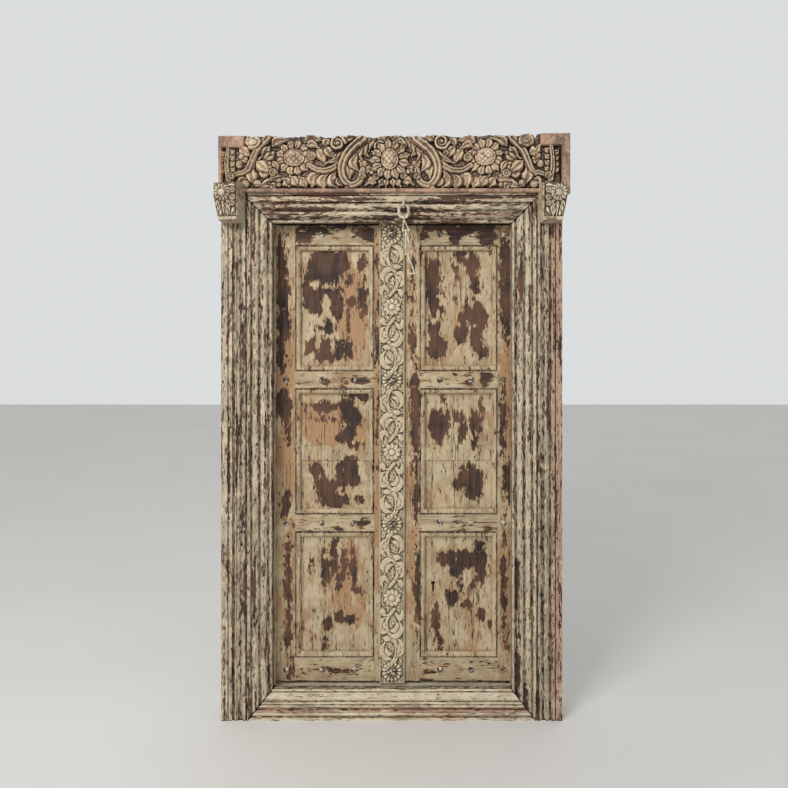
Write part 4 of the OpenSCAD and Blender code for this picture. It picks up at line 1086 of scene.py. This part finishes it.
# Plain parts: the lower fillet, the end bands, the corner blocks by width and height, and how far bands and
# blocks lie behind the crests
FILLET_H = 16
LEFT_BAND, RIGHT_BAND = 15, 30
LEFT_BLOCK, RIGHT_BLOCK = (92, 42), (104, 40)
PLAIN_SET_BACK = 6
# Worn part of the top edge, and the notch in it by place, half width and depth
WORN_FROM, WORN_TO = -500, 508
NOTCH = (503, 5.0, 13)


def build_header():
    """Carved header with its plain fillet, end bands and corner blocks."""
    low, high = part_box("carved_header")
    left, right = low[0] / MM, high[0] / MM
    tall = HEADER_TALL
    rise = high[2] / MM - FRAME_TOP / MM - tall
    ground_y = FRONT_Y - (HEADER_PROUD - HEADER_RELIEF) * MM
    relief = Relief((left, 0), (right, tall), step=1.7, cut_w=4.0, plain_crest=-0.1)
    top = HEADER_RELIEF
    for hand in (1, -1):
        def place(point):
            return (HEADER_AXIS + hand * point[0], point[1])
        for ends in FERN_LOBES:
            relief.stroke([place(p) for p in ends], 22, top * 0.72, LOBE)
        relief.flower(place((-335, 126)), heart=(36, 30), reach=64, petals=12, top=top * 0.86)
        for path, width, kind in sorted(HALF_STROKES, key=lambda item: item[2] == STEM):
            fuller, share = (1.55, 1.0) if kind == STEM else (2.1, 0.86)
            relief.stroke([place(p) for p in path], width * fuller, top * share, kind)
        for at, radius, turn in HALF_CURLS:
            relief.curl(place(at), radius, top * 0.88, hand=turn * hand)
        for at, radius, share, aspect in HALF_BUDS:
            relief.dome(place(at), radius, top * share, aspect)
    relief.flower((HEADER_AXIS, 118), heart=(30, 36), reach=70, petals=13, top=top)
    plain = top - PLAIN_SET_BACK
    relief.block((left, 0), (right, FILLET_H), top)
    relief.block((left, 0), (left + LEFT_BAND, tall), plain)
    relief.block((right - RIGHT_BAND, 0), (right, tall), plain)
    relief.block((left, tall - LEFT_BLOCK[1]), (left + LEFT_BLOCK[0], tall), plain)
    relief.block((right - RIGHT_BLOCK[0], tall - RIGHT_BLOCK[1]), (right, tall), plain)
    relief.worn(roughness=0.5, seed=41)

    along = relief.us
    worn = 2.2 * ripple(along, 0, wavelength=120, seed=43) + ripple(along, 0, wavelength=17, seed=44) - 2.5
    worn = np.where((along > WORN_FROM) & (along < WORN_TO), np.clip(worn, -9, 0) - 2, 0)
    worn -= NOTCH[2] * np.exp(-((along - NOTCH[0]) / NOTCH[1]) ** 2)
    edge = 1 + (rise * (along - left) / (right - left) + worn) / tall
    x = relief.u * MM
    z = FRAME_TOP + relief.v * edge * MM
    piece, crest = carved_piece(relief, (x, ground_y - relief.height * MM, z), (x, BACK_Y, z), HEADER_RELIEF)
    piece.build("header_carving", "carved_header", "frame", "carved_wood", HEADER_PAINT, crest=crest)


# Half a bay of the strip from a boss to the flower above it, in millimetres: path, width and kind
STRIP_STROKES = [
    ([(-24, 8), (14, 40), (14, 84), (-16, 122), (-18, 156), (8, 186)], 11, STEM),
    ([(16, 44), (34, 60), (32, 88), (18, 98)], 13, LEAF),
    ([(18, 52), (26, 66), (22, 82)], 10, LEAF),
    ([(-2, 36), (-26, 44), (-36, 70), (-24, 88)], 14, LEAF),
    ([(0, 52), (-18, 58), (-22, 74)], 10, LEAF),
    ([(-14, 118), (-36, 122), (-38, 150), (-26, 160)], 14, LEAF),
    ([(-16, 130), (-28, 136), (-28, 150)], 9, LEAF),
    ([(-6, 108), (16, 108), (34, 128), (26, 150)], 15, LEAF),
    ([(-6, 122), (10, 124), (20, 138), (12, 150)], 11, LEAF),
    ([(10, 176), (28, 160), (38, 172), (34, 190)], 12, LEAF),
    ([(-12, 166), (-30, 172), (-36, 190)], 13, LOBE),
    ([(2, 88), (-12, 98), (-34, 100)], 12, LOBE),
]
STRIP_RELIEF = 15.0
STRIP_GROUND_Y = LEAF_Y - 10 * MM
# Height of the half bay drawn above, and of its part that the flower takes
HALF_BAY = 190
FLOWER_PART = 36


def build_strip():
    """Carved strip over the meeting of the leaves."""
    low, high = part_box("carved_strip")
    half = (high[0] - low[0]) / 2 / MM
    middle = (low[0] + high[0]) / 2
    length = (high[2] - low[2]) / MM
    bosses = [z / MM - low[2] / MM for z in rail_middles("left")]
    relief = Relief((-half, 0), (half, length), step=1.5, cut_w=2.4)
    for lower, upper in zip(bosses, bosses[1:]):
        centre = (lower + upper) / 2
        stretch = (centre - FLOWER_PART - lower) / HALF_BAY
        relief.flower((0, centre), heart=(11, 11), reach=31, petals=10, top=STRIP_RELIEF)
        for start, sense in ((lower, 1), (upper, -1)):
            for path, width, kind in STRIP_STROKES:
                wavy = [(sense * p[0] * 0.98, start + sense * p[1] * stretch) for p in path]
                share, flutes = (1.0, 2) if kind == STEM else (0.9, 3)
                relief.stroke(wavy, width * 1.55, STRIP_RELIEF * share, kind, flutes)
    for boss in bosses:
        relief.ring((0, boss), inner=17, reach=35, petals=14, width=13, top=STRIP_RELIEF * 0.75, swell=LOBE,
                    flutes=1)
    for side in (-1, 1):
        edge = sorted([side * half, side * (half - 3)])
        relief.block((edge[0], 0), (edge[1], length), 5, round_r=1.0)
    relief.worn(roughness=0.4, seed=51)
    x = middle + relief.u * MM
    z = low[2] + relief.v * MM
    front_y = STRIP_GROUND_Y - relief.height * MM
    piece, crest = carved_piece(relief, (x, front_y, z), (x, LEAF_Y, z), STRIP_RELIEF)
    piece.build("strip_carving", "carved_strip", "left_leaf", "strip_paint", STRIP_PAINT, crest=crest)


# Capital: the place of its middle in metres, half its width and its relief in millimetres
CAPITAL_X = 0.560
CAPITAL_HALF = 46.0
CAPITAL_RELIEF = 9.0
# Height up to which its outer side draws in, and by how much at the foot
SHOULDER_H = 87
DRAW_IN = 16
# Set back of the carved face from the capital's inner side, foot and top
FACE_IN, FACE_UP, FACE_DOWN = 9, 6, 4
CAPITAL_LEAF = [
    ([(12, 78), (14, 50), (14, 14)], 14, LEAF, 1), ([(6, 76), (-8, 68), (-14, 46)], 18, LOBE, 2),
    ([(8, 62), (-4, 52), (-10, 28)], 18, LOBE, 2), ([(10, 46), (2, 36), (-2, 16)], 16, LOBE, 2),
    ([(18, 74), (32, 66), (38, 46)], 18, LOBE, 2), ([(18, 58), (30, 48), (34, 28)], 17, LOBE, 2),
    ([(18, 42), (26, 32), (28, 16)], 15, LOBE, 1)]


def build_capital(side):
    """Capital with a flower over a leaf, a plain band on its inner side and a plain foot."""
    node = f"capital_{side}"
    low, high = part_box(node)
    sign = SIGN[side]
    tall = (high[2] - low[2]) / MM
    half = CAPITAL_HALF
    depth = CAPITAL_RELIEF
    relief = Relief((-half, 0), (half, tall), step=1.2, cut_w=2.0)
    for path, width, kind, flutes in CAPITAL_LEAF:
        relief.stroke(path, width, depth * 0.95, kind, flutes)
    relief.curl((-24, 112), 12, depth * 0.8)
    relief.curl((-26, 86), 11, depth * 0.7, hand=-1)
    relief.curl((-24, 62), 10, depth * 0.7)
    relief.stroke([(-36, 128), (-20, 130), (-4, 124)], 14, depth * 0.8, LEAF, flutes=1)
    relief.stroke([(-30, 48), (-26, 36), (-16, 26)], 14, depth * 0.8, LEAF, flutes=1)
    relief.flower((14, 103), heart=(14, 14), reach=33, petals=13, top=depth)
    relief.block((-half, 0), (-half + 5, tall), depth * 0.7)
    relief.block((-half, 0), (half, 14), depth * 0.6)
    relief.worn(roughness=0.35, seed=61 if sign < 0 else 63)

    lift = relief.v / tall
    right_edge = half - DRAW_IN * np.clip(1 - lift / (SHOULDER_H / tall), 0, 1)
    share = (relief.u + half) / (2 * half)
    inner = -half + FACE_IN
    x = CAPITAL_X * sign + sign * (inner + (right_edge - inner) * share) * MM
    y = low[1] + depth * MM - relief.height * MM
    z = low[2] + (FACE_UP + (tall - FACE_UP - FACE_DOWN) * lift) * MM
    back_x = CAPITAL_X * sign + sign * (-half + (right_edge + half) * share) * MM
    back_z = low[2] + relief.v * MM
    back_y = np.where(back_z < FRAME_TOP, FRONT_Y, FRONT_Y - HEADER_PROUD * MM)
    piece, crest = carved_piece(relief, (x, y, z), (back_x, back_y, back_z), depth)
    piece.build(f"{node}_carving", node, "frame", "carved_wood", CAPITAL_PAINT, crest=crest)


build_header()
build_strip()
for side in SIGN:
    build_capital(side)


def stud_tree(material):
    """Node group that sets a hammered, domed stud on each point."""
    tree = bpy.data.node_groups.new("studs", "GeometryNodeTree")
    face = tree.interface
    face.new_socket("Geometry", in_out="INPUT", socket_type="NodeSocketGeometry")
    for name in ("Radius", "Height", "Dents"):
        face.new_socket(name, in_out="INPUT", socket_type="NodeSocketFloat")
    face.new_socket("Seed", in_out="INPUT", socket_type="NodeSocketInt")
    face.new_socket("Geometry", in_out="OUTPUT", socket_type="NodeSocketGeometry")

    def node(kind, settings=None, **sockets):
        return add_node(tree, kind, settings, sockets).outputs

    given = node("NodeGroupInput")
    ball = node("GeometryNodeMeshUVSphere", Segments=28, Rings=16, Radius=1.0)["Mesh"]
    stretch = node("ShaderNodeCombineXYZ", X=given["Radius"], Y=given["Height"], Z=given["Radius"])["Vector"]
    shaped = node("GeometryNodeTransform", Geometry=ball, Scale=stretch)["Geometry"]
    dents = node("ShaderNodeTexNoise", Scale=150.0, Detail=2.0)[0]
    lower = add_node(tree, "ShaderNodeMath", {"operation": "MULTIPLY"}, {0: dents, 1: given["Dents"]})
    inward = node("ShaderNodeVectorMath", {"operation": "SCALE"}, Vector=node("GeometryNodeInputNormal")[0],
                  Scale=lower.outputs[0])["Vector"]
    shaped = node("GeometryNodeSetPosition", Geometry=shaped, Offset=inward)["Geometry"]
    turned = add_node(tree, "FunctionNodeRandomValue", {"data_type": "FLOAT_VECTOR"},
                      {0: (-0.1, -3.1, -0.1), 1: (0.1, 3.1, 0.1), "Seed": given["Seed"]})
    studs = node("GeometryNodeInstanceOnPoints", Points=given["Geometry"], Instance=shaped,
                 Rotation=turned.outputs[0])["Instances"]
    plain = node("GeometryNodeRealizeInstances", Geometry=studs)["Geometry"]
    dressed = node("GeometryNodeSetMaterial", Geometry=plain, Material=material)["Geometry"]
    node("NodeGroupOutput", Geometry=dressed)
    return tree


def build_studs(name, node, body, points, values):
    """Studs of one node: points through the node group, kept as a plain mesh."""
    mesh = bpy.data.meshes.new(f"{name}_points")
    mesh.from_pydata(points, [], [])
    seats = new_object(f"{name}_points", mesh)
    modifier = seats.modifiers.new("studs", "NODES")
    modifier.node_group = STUDS
    for item in STUDS.interface.items_tree:
        if item.in_out == "INPUT" and item.name in values:
            modifier[item.identifier] = values[item.name]
    ready = seats.evaluated_get(bpy.context.evaluated_depsgraph_get())
    plain = bpy.data.meshes.new_from_object(ready)
    bpy.data.objects.remove(seats)
    plain.shade_smooth()
    studs = new_object(name, plain)
    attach(studs, body)
    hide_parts(node)


# Places of the two nails on a rail, as shares of the way from the hanging stile
RAIL_NAILS = (0.34, 0.74)


def nail_points(side):
    """Places of a leaf's nails: on the hanging stile and twice on each rail."""
    pivot, hang, meet = leaf_edges(side)
    across = [(hang + pivot) / 2] + [hang + share * (meet - hang) for share in RAIL_NAILS]
    return [(x, LEAF_Y, z) for z in rail_middles(side) for x in across]


STUDS = stud_tree(NAIL_IRON)
NAIL = {"Radius": 10.5 * MM, "Height": 4.0 * MM, "Dents": 1.2 * MM, "Seed": 3}
BOSS = {"Radius": 17.5 * MM, "Height": 22.0 * MM, "Dents": 1.5 * MM, "Seed": 5}
for side in SIGN:
    build_studs(f"{side}_nail_heads", f"{side}_nails", f"{side}_leaf", nail_points(side), NAIL)
strip_low, strip_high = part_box("carved_strip")
boss_x = (strip_low[0] + strip_high[0]) / 2
boss_points = [(boss_x, STRIP_GROUND_Y, z) for z in rail_middles("left")]
build_studs("strip_boss_domes", "strip_bosses", "left_leaf", boss_points, BOSS)

CHAIN_NODES = ["chain_eye", "chain_ring", "chain_link_1", "chain_link_2", "chain_link_3"]
for kept, material in [(node, CHAIN_IRON) for node in CHAIN_NODES] + [("header_dowels", DOWEL_WOOD)]:
    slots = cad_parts[kept].data.materials
    slots.clear()
    slots.append(material)


def plain_material(name, colour):
    """Matt colour for the floor, with a faint cloud in it."""
    s = Shader(name)
    cloud = s.noise(1.5)
    shade = tuple(c * 0.97 for c in colour[:3]) + (1.0,)
    return s.finish(s.mix(cloud.between(0.3, 0.7), colour, shade), 0.9, cloud, depth=0.0005)


FLOOR_SIZE = 14
SKY_STRENGTH = 0.62
# The soft light, from the upper left: place and size in metres, turn in degrees
KEY_PLACE = (-1.6, -2.8, 3.3)
KEY_TURN = (56, 0, -30)
KEY_SIZE = 1.6
KEY_WATTS = 80


def build_stage():
    """Floor, soft light and the photograph's camera."""
    bpy.ops.mesh.primitive_plane_add(size=FLOOR_SIZE, location=(0, 0, 0))
    floor = bpy.context.object
    floor.name = "floor"
    floor.data.materials.append(plain_material("pale_floor", PALE_FLOOR))

    world = bpy.data.worlds.new("studio")
    bpy.context.scene.world = world
    world.use_nodes = True
    tree = world.node_tree
    tree.nodes.clear()
    light = add_node(tree, "ShaderNodeBackground", sockets={"Color": WHITE, "Strength": SKY_STRENGTH})
    seen = add_node(tree, "ShaderNodeBackground", sockets={"Color": BACKGROUND, "Strength": 1.0})
    from_eye = add_node(tree, "ShaderNodeLightPath").outputs["Is Camera Ray"]
    either = add_node(tree, "ShaderNodeMixShader",
                      sockets={0: from_eye, 1: light.outputs[0], 2: seen.outputs[0]})
    add_node(tree, "ShaderNodeOutputWorld", sockets={0: either.outputs[0]})

    key = bpy.data.lights.new("key", "AREA")
    key.shape = "RECTANGLE"
    key.size = KEY_SIZE
    key.size_y = KEY_SIZE
    key.energy = KEY_WATTS
    lamp = new_object("key", key)
    lamp.location = KEY_PLACE
    lamp.rotation_euler = [math.radians(angle) for angle in KEY_TURN]

    seen_width = IMAGE_PIXELS * METRES_PER_PIXEL
    distance = FRONT_Y - CAMERA_PLACE[1]
    centre_x = (IMAGE_PIXELS / 2 - DOOR_MIDDLE_PIXEL) * METRES_PER_PIXEL
    centre_z = (FLOOR_PIXEL - IMAGE_PIXELS / 2) * METRES_PER_PIXEL
    camera = bpy.data.cameras.new("camera")
    camera.sensor_width = SENSOR_MM
    camera.lens = SENSOR_MM * distance / seen_width
    camera.shift_x = (centre_x - CAMERA_PLACE[0]) / seen_width
    camera.shift_y = (centre_z - CAMERA_PLACE[2]) / seen_width
    eye = new_object("camera", camera)
    eye.location = CAMERA_PLACE
    eye.rotation_euler = (math.radians(90), 0, 0)
    bpy.context.scene.camera = eye
    bpy.context.scene.view_settings.view_transform = "Standard"


build_stage()
